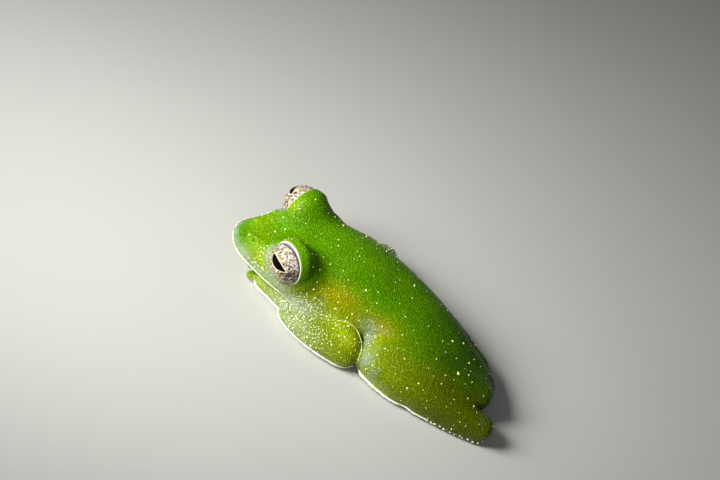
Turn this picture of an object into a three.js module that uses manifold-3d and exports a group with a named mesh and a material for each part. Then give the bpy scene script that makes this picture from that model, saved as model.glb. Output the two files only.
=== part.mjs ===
// A glass frog at rest, life size, in millimetres, +Z up.
// It faces -Y with +X on its own left. All four limbs are folded against the body and everything stands on z = 0.
// Flesh is made of closed forms swept along curves; where two meet, one is cut back so that a thin gap parts them.
import * as THREE from "three";
import { ConvexGeometry } from "three/addons/geometries/ConvexGeometry.js";
import { mergeVertices } from "three/addons/utils/BufferGeometryUtils.js";
import Module from "manifold-3d";

const wasm = await Module();
wasm.setup();

// Driving dimensions
const GAP = 0.3; // between neighbouring pieces
const SNOUT_Y = -13.97; // the snout's tip, so that the frog is centred on the origin
const NECK = 9.9; // behind the snout's tip, where head and torso part
const NECK_LEAN = 0.9; // how much further forward the neck's cut is at the throat
const HEAD_TURN = 0.125; // radians, to the frog's left
const TURN_BACK = 10.4; // where the head's turn starts, behind the snout's tip
const TURN_LENGTH = 4.5; // over which it grows to its full angle
const SNOUT_BEND = 0.28; // of the snout's tip, further to the left
const SNOUT_LENGTH = 3; // behind the tip, where that bend starts
const EYE_RADIUS = 1.78;
const LID_THICKNESS = 0.34;
const EYE = { x: 3.55, back: 4.6, z: 4.72 };
const EYE_AXIS = new THREE.Vector3(0.725, -0.68, -0.112).normalize();
const LID_LEAN = new THREE.Vector3(-0.005, -0.14, -0.038); // the lids cover more above and behind
const LID_PLANE = 0.1; // of the lids' opening, ahead of the eye's middle
const SOCKET_RADIUS = EYE_RADIUS + 1; // what is cleared ahead of that plane
const LIP_RADIUS = 0.24;
const LIP_RISE = 0.2; // of the lip's middle above the line of the mouth
const MOUTH = 1.72; // height of the line of the mouth
const NOSTRIL = { x: 1.2, back: 1.65, z: 3.1, radius: 0.46, pit: 0.2 };
const PIT_PLACE = { out: 0.28, back: -0.14, up: 0.24 }; // from the nostril's middle
const DIGIT_RADIUS = 0.36;
const DISC_RADIUS = 0.55;
const WEB_THICKNESS = 0.5;

// A point given by its place to the left, behind the snout's tip and above the floor
const at = (left, back, height) => new THREE.Vector3(left, back + SNOUT_Y, height);

// Smoothing between 0 and 1
const ease = (t) => THREE.MathUtils.smoothstep(t, 0, 1);

// Closed forms

// Moves each vertex of a unit sphere and closes the seam and the poles
function shapedSphere(around, along, place) {
  const sphere = new THREE.SphereGeometry(1, around, along);
  sphere.deleteAttribute("normal");
  sphere.deleteAttribute("uv");
  const closed = mergeVertices(sphere, 1e-5);
  const position = closed.attributes.position;
  const p = new THREE.Vector3();
  for (let i = 0; i < position.count; i++) {
    p.fromBufferAttribute(position, i);
    position.setXYZ(i, ...place(p).toArray());
  }
  return closed;
}

// A form swept along a curve. Each station is a centre with its half width, its height above and its depth below.
// `square` gives the section's exponent above and below the centre: 2 is round, more is boxier, less is ridged.
// `caps` are the lengths over which the ends round off.
function sweep(stations, { around = 20, along = 22, caps = [1, 1] } = {}) {
  const path = new THREE.CatmullRomCurve3(stations.map((s) => s.centre));
  const sizes = new THREE.CatmullRomCurve3(stations.map((s) => new THREE.Vector3(...s.size)));
  const squares = new THREE.CatmullRomCurve3(
    stations.map(({ square: [above, below] = [2, 2] }) => new THREE.Vector3(above, below, 0)),
  );
  const length = path.getLength();
  const up = new THREE.Vector3(0, 0, 1);
  return shapedSphere(around, along, (p) => {
    const t = THREE.MathUtils.clamp((1 - p.y) / 2, 0, 1);
    const centre = path.getPoint(t);
    const [wide, high, deep] = sizes.getPoint(t).toArray();
    const tangent = path.getTangent(t);
    const side = new THREE.Vector3().crossVectors(up, tangent).normalize();
    const rise = new THREE.Vector3().crossVectors(tangent, side);
    const start = Math.min(1, (t * length) / caps[0]);
    const end = Math.min(1, ((1 - t) * length) / caps[1]);
    const cap = Math.sqrt(start * (2 - start)) * Math.sqrt(end * (2 - end));
    const ring = Math.hypot(p.x, p.z);
    if (ring < 1e-9) return centre;
    const [c, s] = [p.x / ring, p.z / ring];
    const power = squares.getPoint(t).getComponent(s > 0 ? 0 : 1);
    const corner = (Math.abs(c) ** power + Math.abs(s) ** power) ** (-1 / power);
    return centre
      .addScaledVector(side, c * corner * wide * cap)
      .addScaledVector(rise, s * corner * (s > 0 ? high : deep) * cap);
  });
}

const limb = (stations, side, options) =>
  sweep(
    stations.map(([left, back, height, wide, high, deep = high]) => ({
      centre: at(side * left, back, height),
      size: [wide, high, deep],
    })),
    options,
  );

const ellipsoid = (centre, radii, around = 20, along = 14) =>
  shapedSphere(around, along, (p) => p.multiply(new THREE.Vector3(...radii)).add(centre));

// What tight skin over several forms encloses
function stretchedOver(geometries) {
  const points = geometries.flatMap(({ attributes: { position } }) =>
    Array.from({ length: position.count }, (_, i) => new THREE.Vector3().fromBufferAttribute(position, i)),
  );
  return new ConvexGeometry(points);
}

// Pushes a form's surface out along its normals
function swollen(geometry, by) {
  const grown = geometry.clone();
  grown.computeVertexNormals();
  const { position, normal } = grown.attributes;
  for (let i = 0; i < position.count; i++)
    position.setXYZ(
      i,
      position.getX(i) + by * normal.getX(i),
      position.getY(i) + by * normal.getY(i),
      position.getZ(i) + by * normal.getZ(i),
    );
  grown.deleteAttribute("normal");
  return grown;
}

// Solids and their joining

function solid(geometry) {
  const source = geometry.clone();
  for (const name of ["normal", "uv"]) source.deleteAttribute(name);
  const merged = mergeVertices(source, 1e-4);
  return new wasm.Manifold(
    new wasm.Mesh({
      numProp: 3,
      vertProperties: new Float32Array(merged.attributes.position.array),
      triVerts: new Uint32Array(merged.index.array),
    }),
  );
}

const joined = (geometries, by = 0) =>
  geometries.map((g) => solid(by ? swollen(g, by) : g)).reduce((a, b) => a.add(b));

const cut = (body, ...tools) => tools.reduce((a, b) => a.subtract(b), body);

const largest = (body) => body.decompose().reduce((a, b) => (a.volume() > b.volume() ? a : b));

function box(low, high) {
  const size = new THREE.Vector3().subVectors(high, low);
  const geometry = new THREE.BoxGeometry(...size.toArray());
  geometry.translate(...size.multiplyScalar(0.5).add(low).toArray());
  return solid(geometry);
}

const floor = box(at(-30, -30, -20), at(30, 60, 0));

// A wall across the frog, drawn in side view and extruded from left to right
function sideProfile(points, halfWidth = 12) {
  const shape = new THREE.Shape(points.map(([back, z]) => new THREE.Vector2(back + SNOUT_Y, z)));
  const geometry = new THREE.ExtrudeGeometry(shape, { depth: 2 * halfWidth, bevelEnabled: false });
  geometry.applyMatrix4(
    new THREE.Matrix4().makeBasis(
      new THREE.Vector3(0, 1, 0),
      new THREE.Vector3(0, 0, 1),
      new THREE.Vector3(1, 0, 0),
    ),
  );
  geometry.translate(-halfWidth, 0, 0);
  return solid(geometry);
}

// Turns what lies ahead of the neck to the left, smoothly from the shoulders forward, and the snout's tip a little more
function turned(point) {
  const pivot = at(0, TURN_BACK, 0);
  const bend = SNOUT_BEND * ease((SNOUT_Y + SNOUT_LENGTH - point.y) / SNOUT_LENGTH);
  const angle = HEAD_TURN * ease((pivot.y - point.y) / TURN_LENGTH);
  return point.setX(point.x + bend).sub(pivot).applyAxisAngle(new THREE.Vector3(0, 0, 1), angle).add(pivot);
}

function turnedForm(geometry) {
  const position = geometry.attributes.position;
  const p = new THREE.Vector3();
  for (let i = 0; i < position.count; i++)
    position.setXYZ(i, ...turned(p.fromBufferAttribute(position, i)).toArray());
  return geometry;
}

// The spine bends to the left towards the vent
const SPINE_BEND = 1.4;
const SPINE_START = 12;
const SPINE_LENGTH = 15;
const spine = (back) => SPINE_BEND * Math.max(0, (back - SPINE_START) / SPINE_LENGTH) ** 1.3;

// Trunk: head, throat and torso as one form.
// Each row: distance behind the snout, half width, bottom, widest, top, and the section's exponents
const TRUNK_ROWS = [
  [0.05, 0.9, 1.3, 1.85, 2.15, 1.8, 2],
  [0.5, 1.65, 1.1, 1.85, 2.6, 1.75, 2],
  [1.5, 2.65, 1.0, 1.85, 3.12, 1.7, 2.2],
  [3.2, 3.65, 1.0, 1.85, 3.85, 1.75, 2.3],
  [5.4, 4.4, 1.0, 1.95, 4.85, 1.95, 2.3],
  [7.8, 4.9, 0.7, 2.15, 5.75, 2.15, 2.3],
  [10.4, 4.85, -0.2, 2.5, 6.15, 2.2, 2.3],
  [13.0, 4.6, -0.3, 2.8, 6.1, 2.2, 2.2],
  [15.5, 4.25, -0.3, 3.1, 5.75, 2.1, 1.9],
  [18.0, 3.75, -0.3, 3.15, 5.3, 2.05, 1.8],
  [20.5, 3.2, -0.3, 2.9, 4.65, 2.0, 1.8],
  [22.8, 2.45, -0.1, 2.4, 3.85, 2.0, 1.9],
  [24.8, 2.05, 0.35, 1.9, 3.15, 2.0, 2],
  [26.9, 1.35, 0.7, 1.6, 2.35, 2.0, 2],
];

const trunkForm = turnedForm(
  sweep(
    TRUNK_ROWS.map(([back, wide, bottom, widest, top, above, below]) => ({
      centre: at(spine(back), back, widest),
      size: [wide, top - widest, widest - bottom],
      square: [above, below],
    })),
    { around: 24, along: 32, caps: [0.9, 1.2] },
  ),
);

// The upper lip, a rounded edge along the line of the mouth
const lipPath = [-1, 1].flatMap((side) => {
  const half = TRUNK_ROWS.slice(1, 6).map(([back, wide]) => {
    const inward = 0.16 + 0.14 / (1 + back);
    return turned(at(side * (wide - inward), back + 0.1, MOUTH + LIP_RISE));
  });
  return side < 0 ? [...half.reverse(), turned(at(0, 0.22, MOUTH + LIP_RISE))] : half;
});
const lipForm = sweep(
  lipPath.map((centre) => ({ centre, size: [LIP_RADIUS, LIP_RADIUS, LIP_RADIUS] })),
  { around: 6, along: 30, caps: [2, 2] },
);

// The neck's cut leans forward at the throat
const behindNeck = (shift) =>
  sideProfile([
    [NECK - NECK_LEAN + shift, -1],
    [NECK + 60, -1],
    [NECK + 60, 12],
    [NECK + NECK_LEAN + shift, 12],
  ]);

// The lower jaw lies under the line of the mouth
const underMouth = (lift) =>
  sideProfile([
    [-3, -2],
    [-3, MOUTH + lift],
    [7.4 + lift, MOUTH - 0.04 + lift],
    [8.2 + lift, -2],
  ]);

const mirrored = (v, side) => new THREE.Vector3(side * v.x, v.y, v.z);
const eyeCentre = (side) => turned(at(side * EYE.x, EYE.back, EYE.z));
const eyeAxis = (side) => mirrored(EYE_AXIS, side).applyAxisAngle(new THREE.Vector3(0, 0, 1), HEAD_TURN);
const ball = (centre, radius, around, along) => ellipsoid(centre, [radius, radius, radius], around, along);

// What of a ball round the eye lies outward of a plane. The plane tips so that the lid covers more above and behind
function outwardOfLid(side, distance, radius, around, along) {
  const axis = eyeAxis(side).add(mirrored(LID_LEAN, side)).normalize();
  const geometry = new THREE.CylinderGeometry(4, 4, 6, 16);
  geometry.translate(0, 3, 0);
  geometry.applyQuaternion(new THREE.Quaternion().setFromUnitVectors(new THREE.Vector3(0, 1, 0), axis));
  geometry.translate(...eyeCentre(side).addScaledVector(axis, distance).toArray());
  return solid(geometry).intersect(solid(ball(eyeCentre(side), radius, around, along)));
}

// The ridge from the eye to the nostril
const CANTHUS = [
  [2.6, 4.3, 3.6, 1.0, 1.0],
  [2.05, 2.9, 3.15, 0.75, 0.7],
  [1.3, 1.8, 2.8, 0.5, 0.45],
];

// The swelling round each eye, and what joins it to the crown and to the cheek: centres and radii
const EYE_SWELLS = [
  [[3.5, 5.05, 4.62], [2.02, 2.05, 2.02]],
  [[3.05, 6.4, 4.0], [1.8, 2.15, 1.65]],
  [[2.3, 4.7, 4.1], [1.7, 2.0, 1.15]],
];

function headSolid() {
  const forms = [trunkForm, lipForm];
  const pits = [];
  const ridges = [];
  const bulge = EYE_RADIUS + LID_THICKNESS;
  for (const side of [1, -1]) {
    forms.push(ball(eyeCentre(side), bulge, 20, 14));
    const swells = EYE_SWELLS.map(([[left, back, height], radii]) =>
      ellipsoid(turned(at(side * left, back, height)), radii, 18, 12),
    );
    forms.push(stretchedOver(swells));
    ridges.push(turnedForm(limb(CANTHUS, side, { around: 10, along: 8, caps: [0.8, 0.4] })));
    const nostril = turned(at(side * NOSTRIL.x, NOSTRIL.back, NOSTRIL.z));
    forms.push(ellipsoid(nostril, [NOSTRIL.radius, NOSTRIL.radius * 1.2, NOSTRIL.radius * 0.9], 12, 8));
    const pit = nostril.clone().add(new THREE.Vector3(side * PIT_PLACE.out, PIT_PLACE.back, PIT_PLACE.up));
    pits.push(solid(ellipsoid(pit, [NOSTRIL.pit, NOSTRIL.pit * 1.3, NOSTRIL.pit], 10, 6)));
  }
  forms.push(stretchedOver(ridges));
  return largest(
    cut(
      joined(forms),
      behindNeck(-GAP / 2),
      underMouth(GAP / 2),
      outwardOfLid(1, LID_PLANE, SOCKET_RADIUS, 20, 14),
      outwardOfLid(-1, LID_PLANE, SOCKET_RADIUS, 20, 14),
      ...pits,
      floor,
    ),
  );
}

const eyeSolid = (side) => outwardOfLid(side, LID_PLANE + GAP, EYE_RADIUS, 20, 12);

// Arms and legs. Each row: a place to the side, behind the snout and above the floor, then the half sizes
const UPPER_ARM = [
  [4.2, 10.6, 2.2, 0.9, 0.9],
  [5.0, 11.8, 2.3, 1.15, 1.15],
  [5.7, 13.0, 2.15, 1.15, 1.15],
  [6.1, 14.05, 1.7, 0.95, 0.95],
];
const FOREARM = [
  [6.35, 14.5, 1.0, 0.9, 0.9, 1.1],
  [6.35, 12.5, 1.1, 1.3, 1.3, 1.25],
  [6.05, 10.2, 1.05, 1.5, 1.3, 1.2],
  [5.45, 8.3, 0.9, 1.4, 1.05, 0.9],
  [4.75, 7.0, 0.75, 1.0, 0.8, 0.75],
];

// The left leg is folded beside the body. The right one is drawn in closer, partly under it
const THIGH = {
  left: [
    [2.3, 26.6, 1.9, 1.2, 1.15],
    [2.75, 24.8, 2.15, 1.5, 1.4],
    [3.4, 22.4, 2.6, 1.6, 1.5],
    [4.1, 19.9, 2.95, 1.6, 1.5],
    [4.65, 17.5, 2.95, 1.4, 1.4],
    [5.1, 14.5, 2.35, 1.1, 1.25],
  ],
  right: [
    [-0.1, 25.6, 1.9, 1.1, 1.1],
    [1.15, 22.6, 2.1, 1.25, 1.2],
    [2.3, 20.0, 2.3, 1.35, 1.3],
    [3.15, 17.8, 2.4, 1.3, 1.3],
    [3.8, 15.6, 2.2, 1.1, 1.1],
  ],
};
const SHANK = {
  left: [
    [5.6, 14.4, 1.7, 1.0, 1.1, 1.0],
    [6.0, 17.2, 2.05, 1.35, 1.3, 1.2],
    [6.1, 20.4, 1.95, 1.35, 1.3, 1.1],
    [5.7, 24.0, 1.75, 1.25, 1.15, 0.95],
    [4.9, 27.85, 1.4, 1.2, 1.0, 0.75],
  ],
  right: [
    [4.2, 15.4, 1.6, 1.0, 0.95, 0.8],
    [4.4, 17.8, 1.6, 1.1, 1.0, 0.85],
    [3.55, 20.4, 1.55, 1.1, 1.0, 0.85],
    [2.05, 23.4, 1.4, 1.0, 0.95, 0.8],
    [0.35, 26.1, 1.25, 0.8, 0.75, 0.65],
  ],
};
const TARSUS = {
  left: [
    [5.15, 27.7, 0.3, 0.75, 0.6, 0.5],
    [5.9, 25.0, 0.5, 0.75, 0.6, 0.7],
    [6.3, 22.3, 0.55, 0.75, 0.6, 0.7],
    [6.6, 20.2, 0.5, 0.75, 0.5, 0.6],
  ],
  right: [
    [0.5, 26.2, 0.2, 0.7, 0.4, 0.4],
    [2.2, 24.0, 0.3, 0.75, 0.45, 0.5],
    [3.8, 21.6, 0.4, 0.75, 0.45, 0.6],
    [4.5, 19.9, 0.4, 0.75, 0.45, 0.6],
  ],
};

// Fingers and toes: base, middle and tip as places on the floor plan
const FINGERS = [
  [[3.8, 6.5], [2.6, 6.1], [1.5, 5.6]],
  [[3.7, 6.0], [2.6, 4.9], [1.6, 4.1]],
  [[3.6, 5.3], [2.8, 4.1], [2.0, 3.0]],
  [[3.8, 5.4], [3.6, 4.5], [3.3, 3.45]],
];
const TOES = [
  [[5.8, 19.6], [5.0, 19.1], [4.2, 18.9]],
  [[5.8, 18.8], [4.8, 17.8], [4.0, 17.2]],
  [[6.0, 18.4], [5.1, 16.9], [4.4, 15.8]],
  [[6.3, 18.2], [5.8, 16.7], [5.2, 15.2]],
  [[6.8, 18.6], [6.9, 17.1], [6.3, 15.8]],
];
const FOOT_IN = 2.1; // how much nearer the middle the right foot lies
const PALM = [
  [4.75, 7.2, 0.7, 0.85, 0.75, 0.65],
  [3.95, 6.0, 0.7, 1.05, 0.85, 0.65],
  [3.55, 4.9, 0.6, 1.05, 0.75, 0.55],
  [3.0, 4.0, 0.5, 0.9, 0.6, 0.45],
];
const SOLE = [
  [6.55, 20.0, 0.5, 0.75, 0.45],
  [6.5, 18.8, 0.45, 0.95, 0.45],
  [6.4, 17.4, 0.4, 1.0, 0.4],
];

function digitForms(points, side) {
  const path = points.map(([left, back], i) => [left, back, 0.38 - 0.04 * i, DIGIT_RADIUS, DIGIT_RADIUS]);
  const [left, back] = points[2];
  return [
    limb(path, side, { around: 6, along: 5, caps: [0.3, 0.3] }),
    ellipsoid(at(side * left, back, 0.26), [DISC_RADIUS, DISC_RADIUS, 0.32], 8, 4),
  ];
}

// A web between two neighbouring digits, from their bases to about half way out
function web(first, second, side, reach) {
  const out = (digit) => [0, 1].map((k) => THREE.MathUtils.lerp(digit[0][k], digit[2][k], reach));
  const middle = [0, 1].map((k) => (out(first)[k] + out(second)[k] + first[0][k] + second[0][k]) / 4);
  const corners = [first[0], out(first), middle, out(second), second[0]];
  const shape = new THREE.Shape(corners.map(([left, back]) => new THREE.Vector2(side * left, back + SNOUT_Y)));
  return new THREE.ExtrudeGeometry(shape, { depth: WEB_THICKNESS, bevelEnabled: false });
}

function palmAndDigits(palm, digits, side, webbed) {
  const pads = [limb(palm, side, { around: 10, along: 7, caps: [0.5, 0.6] })];
  const webs = webbed.map(([i, reach]) => web(digits[i], digits[i + 1], side, reach));
  return { forms: [...pads, ...digits.flatMap((d) => digitForms(d, side))], webs };
}

// The frog
const SKIN = {
  back: { color: 0x5c9a12, roughness: 0.45, metalness: 0 },
  limb: { color: 0x7aa61c, roughness: 0.45, metalness: 0 },
  pale: { color: 0xb9cfa6, roughness: 0.45, metalness: 0 },
  eye: { color: 0xcfc4b4, roughness: 0.15, metalness: 0 },
};

const frog = new THREE.Group();

function add(name, body, skin) {
  const mesh = body.getMesh();
  const geometry = new THREE.BufferGeometry();
  const position = new Float32Array(mesh.numVert * 3);
  for (let i = 0; i < mesh.numVert; i++)
    position.set(mesh.vertProperties.subarray(i * mesh.numProp, i * mesh.numProp + 3), i * 3);
  geometry.setAttribute("position", new THREE.BufferAttribute(position, 3));
  geometry.setIndex(new THREE.BufferAttribute(mesh.triVerts, 1));
  const piece = new THREE.Mesh(geometry, new THREE.MeshStandardMaterial(SKIN[skin]));
  piece.name = name;
  frog.add(piece);
}

add("head", headSolid(), "back");

const hands = {};
const feet = {};
for (const side of [1, -1]) {
  hands[side] = palmAndDigits(PALM, FINGERS, side, [[2, 0.45]]);
  const inward = side < 0 ? FOOT_IN : 0;
  const shifted = ([left, ...rest]) => [left - inward, ...rest];
  feet[side] = palmAndDigits(
    SOLE.map(shifted),
    TOES.map((toe) => toe.map(shifted)),
    side,
    [[0, 0.4], [1, 0.5], [2, 0.6], [3, 0.65]],
  );
}
const grownSole = (part) => joined(part.forms, GAP);

const torso = largest(
  cut(solid(trunkForm).intersect(behindNeck(GAP / 2)), floor, grownSole(feet[1]), grownSole(feet[-1])),
);
add("torso", torso, "back");

const jaw = largest(
  solid(swollen(trunkForm, -0.12))
    .intersect(underMouth(-GAP / 2))
    .subtract(grownSole(hands[1]))
    .subtract(grownSole(hands[-1])),
);
add("lower_jaw", jaw, "pale");

const grownTrunk = solid(swollen(trunkForm, GAP));

for (const [side, name] of [[1, "left"], [-1, "right"]]) {
  const thigh = limb(THIGH[name], side, { around: 14, along: 14, caps: [1.2, 1.1] });
  const shank = limb(SHANK[name], side, { around: 14, along: 15, caps: [1.0, 0.8] });
  const tarsus = limb(TARSUS[name], side, { around: 10, along: 12, caps: [0.7, 0.6] });
  const upperArm = limb(UPPER_ARM, side, { around: 14, along: 12, caps: [1.0, 0.9] });
  const forearm = limb(FOREARM, side, { around: 14, along: 14, caps: [0.9, 0.5] });
  const hand = hands[side];
  const foot = feet[side];
  const grownArm = joined([upperArm, forearm], GAP);

  add(`eye_${name}`, eyeSolid(side), "eye");
  add(`thigh_${name}`, largest(cut(solid(thigh), grownTrunk, grownArm, grownSole(foot), floor)), "limb");
  add(
    `shank_${name}`,
    largest(cut(solid(shank), joined([thigh], GAP), grownTrunk, grownArm, grownSole(foot), floor)),
    "limb",
  );
  add(
    `tarsus_${name}`,
    largest(cut(solid(tarsus), joined([thigh, shank], GAP), grownTrunk, grownSole(foot), floor)),
    "limb",
  );
  add(`foot_${name}`, largest(cut(joined([...foot.forms, ...foot.webs]), floor)), "pale");
  add(`upper_arm_${name}`, largest(cut(solid(upperArm), grownTrunk)), "limb");
  add(
    `forearm_${name}`,
    largest(cut(solid(forearm), joined([upperArm], GAP), grownTrunk, grownSole(hand), floor)),
    "limb",
  );
  add(`hand_${name}`, largest(cut(joined([...hand.forms, ...hand.webs]), floor)), "pale");
}

export default frog;
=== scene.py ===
"""A glass frog at rest, life size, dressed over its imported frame.

One skin covers all the flesh. Its forms are swept and grown together by a voxel remesh, smoothed where the body flows,
and then given lids, lips, nostrils, ear discs and folds. Raised warts and thin white skin edges sit on it, and each
eye is a ball with its iris and slit inside a lid margin. Shapes are worked out in millimetres and scaled to metres
when a mesh is finished.
"""

from __future__ import annotations

import logging
import math
from dataclasses import dataclass
from enum import Enum
from typing import Any

import bmesh
import bpy
import numpy as np
from mathutils import Matrix, Vector
from mathutils.bvhtree import BVHTree

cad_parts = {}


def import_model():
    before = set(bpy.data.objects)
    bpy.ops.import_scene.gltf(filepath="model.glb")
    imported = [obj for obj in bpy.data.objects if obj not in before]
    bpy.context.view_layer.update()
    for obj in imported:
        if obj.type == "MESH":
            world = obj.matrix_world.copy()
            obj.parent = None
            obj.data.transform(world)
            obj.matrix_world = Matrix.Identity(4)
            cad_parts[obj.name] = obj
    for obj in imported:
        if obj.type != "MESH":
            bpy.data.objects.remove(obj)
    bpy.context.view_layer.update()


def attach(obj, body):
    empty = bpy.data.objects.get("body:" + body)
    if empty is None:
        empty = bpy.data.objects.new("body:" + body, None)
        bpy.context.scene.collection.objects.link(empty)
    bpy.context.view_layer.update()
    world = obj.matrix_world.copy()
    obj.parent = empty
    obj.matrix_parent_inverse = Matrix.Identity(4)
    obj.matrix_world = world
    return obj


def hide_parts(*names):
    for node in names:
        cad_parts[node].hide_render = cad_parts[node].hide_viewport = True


MM = 0.001  # metres in a millimetre
log = logging.getLogger("glass_frog")

Row = tuple[float, ...]
Rows = tuple[Row, ...]
Span = tuple[float, float]


class Side(Enum):
    """The frog's own left and right. The value is the sign of X on that side."""

    LEFT = 1
    RIGHT = -1

    @property
    def word(self) -> str:
        """The side's name as it is used in the names of pieces."""
        return self.name.lower()


# Numbers


def ease(t: np.ndarray | float) -> np.ndarray | float:
    """Goes smoothly from 0 to 1 as t does, and stays there outside."""
    u = np.clip(t, 0.0, 1.0)
    return u * u * (3 - 2 * u)


def fall(distance: np.ndarray, near: float, far: float) -> np.ndarray:
    """Is 1 up to near and falls smoothly to 0 at far."""
    return 1 - ease((distance - near) / (far - near))


def unit(vectors: np.ndarray) -> np.ndarray:
    """The vectors at length one."""
    return vectors / np.maximum(np.linalg.norm(vectors, axis=-1, keepdims=True), 1e-12)


def curve(rows: np.ndarray, t: np.ndarray) -> np.ndarray:
    """Values on a smooth curve through rows of numbers.

    Args:
        rows: One row of numbers for each station.
        t: Places along the curve, from 0 at the first station to 1 at the last.

    Returns:
        One row of numbers for each place.
    """
    ends = np.vstack([2 * rows[0] - rows[1], rows, 2 * rows[-1] - rows[-2]])
    place = np.clip(t, 0, 1) * (len(rows) - 1)
    index = np.minimum(place.astype(int), len(rows) - 2)
    u = (place - index)[:, None]
    a, b, c, d = (ends[index + k] for k in range(4))
    return 0.5 * (2 * b + (c - a) * u + (2 * a - 5 * b + 4 * c - d) * u**2 + (3 * b - a - 3 * c + d) * u**3)


def distance_to(points: np.ndarray, path: np.ndarray) -> np.ndarray:
    """How far each point is from a path of straight steps.

    Args:
        points: The points.
        path: The path's points in order.

    Returns:
        One distance for each point.
    """
    best = np.full(len(points), np.inf)
    for start, end in zip(path[:-1], path[1:]):
        step = end - start
        share = np.clip((points - start) @ step / max(step @ step, 1e-12), 0, 1)
        best = np.minimum(best, np.linalg.norm(points - start - share[:, None] * step, axis=1))
    return best


# The plan of the body


@dataclass(frozen=True)
class BodyPlan:
    """Places and sizes that every part of the frog is set against, in millimetres.

    A place is given as its distance to the left of the middle, behind the snout's tip and above the floor.
    """

    snout_y: float = -13.97
    head_turn: float = 0.125  # radians, to the frog's left
    turn_back: float = 10.4  # where the turn starts, behind the snout's tip
    turn_length: float = 4.5
    snout_bend: float = 0.28  # of the snout's tip, further to the left
    snout_length: float = 3.0  # behind the tip, where that bend starts
    spine_bend: float = 1.4
    spine_start: float = 12.0
    spine_length: float = 15.0
    spine_power: float = 1.3
    mouth: float = 1.72  # height of the line of the mouth
    mouth_corner: float = 8.2  # how far back it reaches
    eye: Row = (3.55, 4.6, 4.72)
    gaze: Row = (0.725, -0.68, -0.112)  # of the left eye
    gaze_right: Row = (0.496, -0.86, 0.122)  # of the right eye, which looks more ahead
    lids: Row = (0.72, -0.82, -0.15)  # the way the lids open, so that they cover more above and behind
    eye_radius: float = 1.78
    lid_radius: float = 2.12

    def at(self, places: Rows | Row) -> np.ndarray:
        """Points for places given to the left, behind the snout and above the floor."""
        return np.asarray(places, float) + (0.0, self.snout_y, 0.0)

    def spine(self, back: float) -> float:
        """How far to the left the spine lies at a distance behind the snout."""
        return self.spine_bend * max(0.0, (back - self.spine_start) / self.spine_length) ** self.spine_power

    def turned(self, points: np.ndarray, way: float = 1.0) -> np.ndarray:
        """Turns what lies ahead of the shoulders with the head.

        Args:
            points: The points.
            way: 1 turns them with the head, and -1 turns them back into the head's own frame.

        Returns:
            The turned points.
        """
        pivot = np.array([0.0, self.turn_back + self.snout_y, 0.0])
        reach = (self._bent(points, 1.0) if way > 0 else points) - pivot
        angle = way * self.head_turn * ease(-reach[:, 1] / self.turn_length)
        c, s = np.cos(angle), np.sin(angle)
        x, y = reach[:, 0], reach[:, 1]
        turned = np.stack([c * x - s * y, s * x + c * y, reach[:, 2]], axis=1) + pivot
        return turned if way > 0 else self._bent(turned, -1.0)

    def _bent(self, points: np.ndarray, way: float) -> np.ndarray:
        """Bends the snout's tip to the left, or with a way of -1 back again."""
        bend = self.snout_bend * ease((self.snout_y + self.snout_length - points[:, 1]) / self.snout_length)
        return points + way * bend[:, None] * (1.0, 0.0, 0.0)

    def eye_centre(self, side: Side) -> np.ndarray:
        """The middle of the eyeball."""
        left, back, height = self.eye
        return self.turned(self.at(((side.value * left, back, height),)))[0]

    def looks(self, side: Side) -> np.ndarray:
        """The way an eye looks."""
        return self._headed(self.gaze if side is Side.LEFT else self.gaze_right, side)

    def lids_open(self, side: Side) -> np.ndarray:
        """The way an eye's lids open."""
        return self._headed(self.lids, side)

    def _headed(self, way: Row, side: Side) -> np.ndarray:
        """A way given for the left side of a head that looks straight on, turned with the head.

        Args:
            way: The way on the left side.
            side: The side it is wanted for.

        Returns:
            The way, at length one.
        """
        x, y, z = way
        x *= side.value
        c, s = math.cos(self.head_turn), math.sin(self.head_turn)
        return unit(np.array([c * x - s * y, s * x + c * y, z]))


# Materials


def linear(colour: str) -> tuple[float, float, float, float]:
    """An sRGB hex colour as the linear values that a shader takes."""
    parts = [int(colour[i : i + 2], 16) / 255 for i in (1, 3, 5)]
    return (*[p / 12.92 if p <= 0.04045 else ((p + 0.055) / 1.055) ** 2.4 for p in parts], 1.0)


def add_node(
    tree: bpy.types.NodeTree, kind: str, inputs: dict[str | int, Any] | None = None, **settings: Any
) -> bpy.types.Node:
    """Adds a node with its settings and links.

    Args:
        tree: The tree it goes into.
        kind: The node's type.
        inputs: For each input, by name or number, a value or the socket that feeds it.
        **settings: The node's own settings.

    Returns:
        The new node.
    """
    made = tree.nodes.new(kind)
    for name, value in settings.items():
        setattr(made, name, value)
    for key, value in (inputs or {}).items():
        if isinstance(value, bpy.types.NodeSocket):
            tree.links.new(value, made.inputs[key])
        else:
            made.inputs[key].default_value = value
    return made


MIX_A, MIX_B, MIX_OUT = 6, 7, 2  # the colour sockets of a Mix node


@dataclass(frozen=True)
class Layer:
    """A colour that lies over others: from where it takes its amount, and how it comes in."""

    colour: str
    source: str | bpy.types.NodeSocket  # a number that the mesh carries at each point, by name, or a pattern's value
    span: Span | None = None  # the values at which the colour starts and is full, if they aren't 0 and 1
    most: float = 1.0  # how much of the colour shows where it is full
    blend: str = "MIX"


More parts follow.
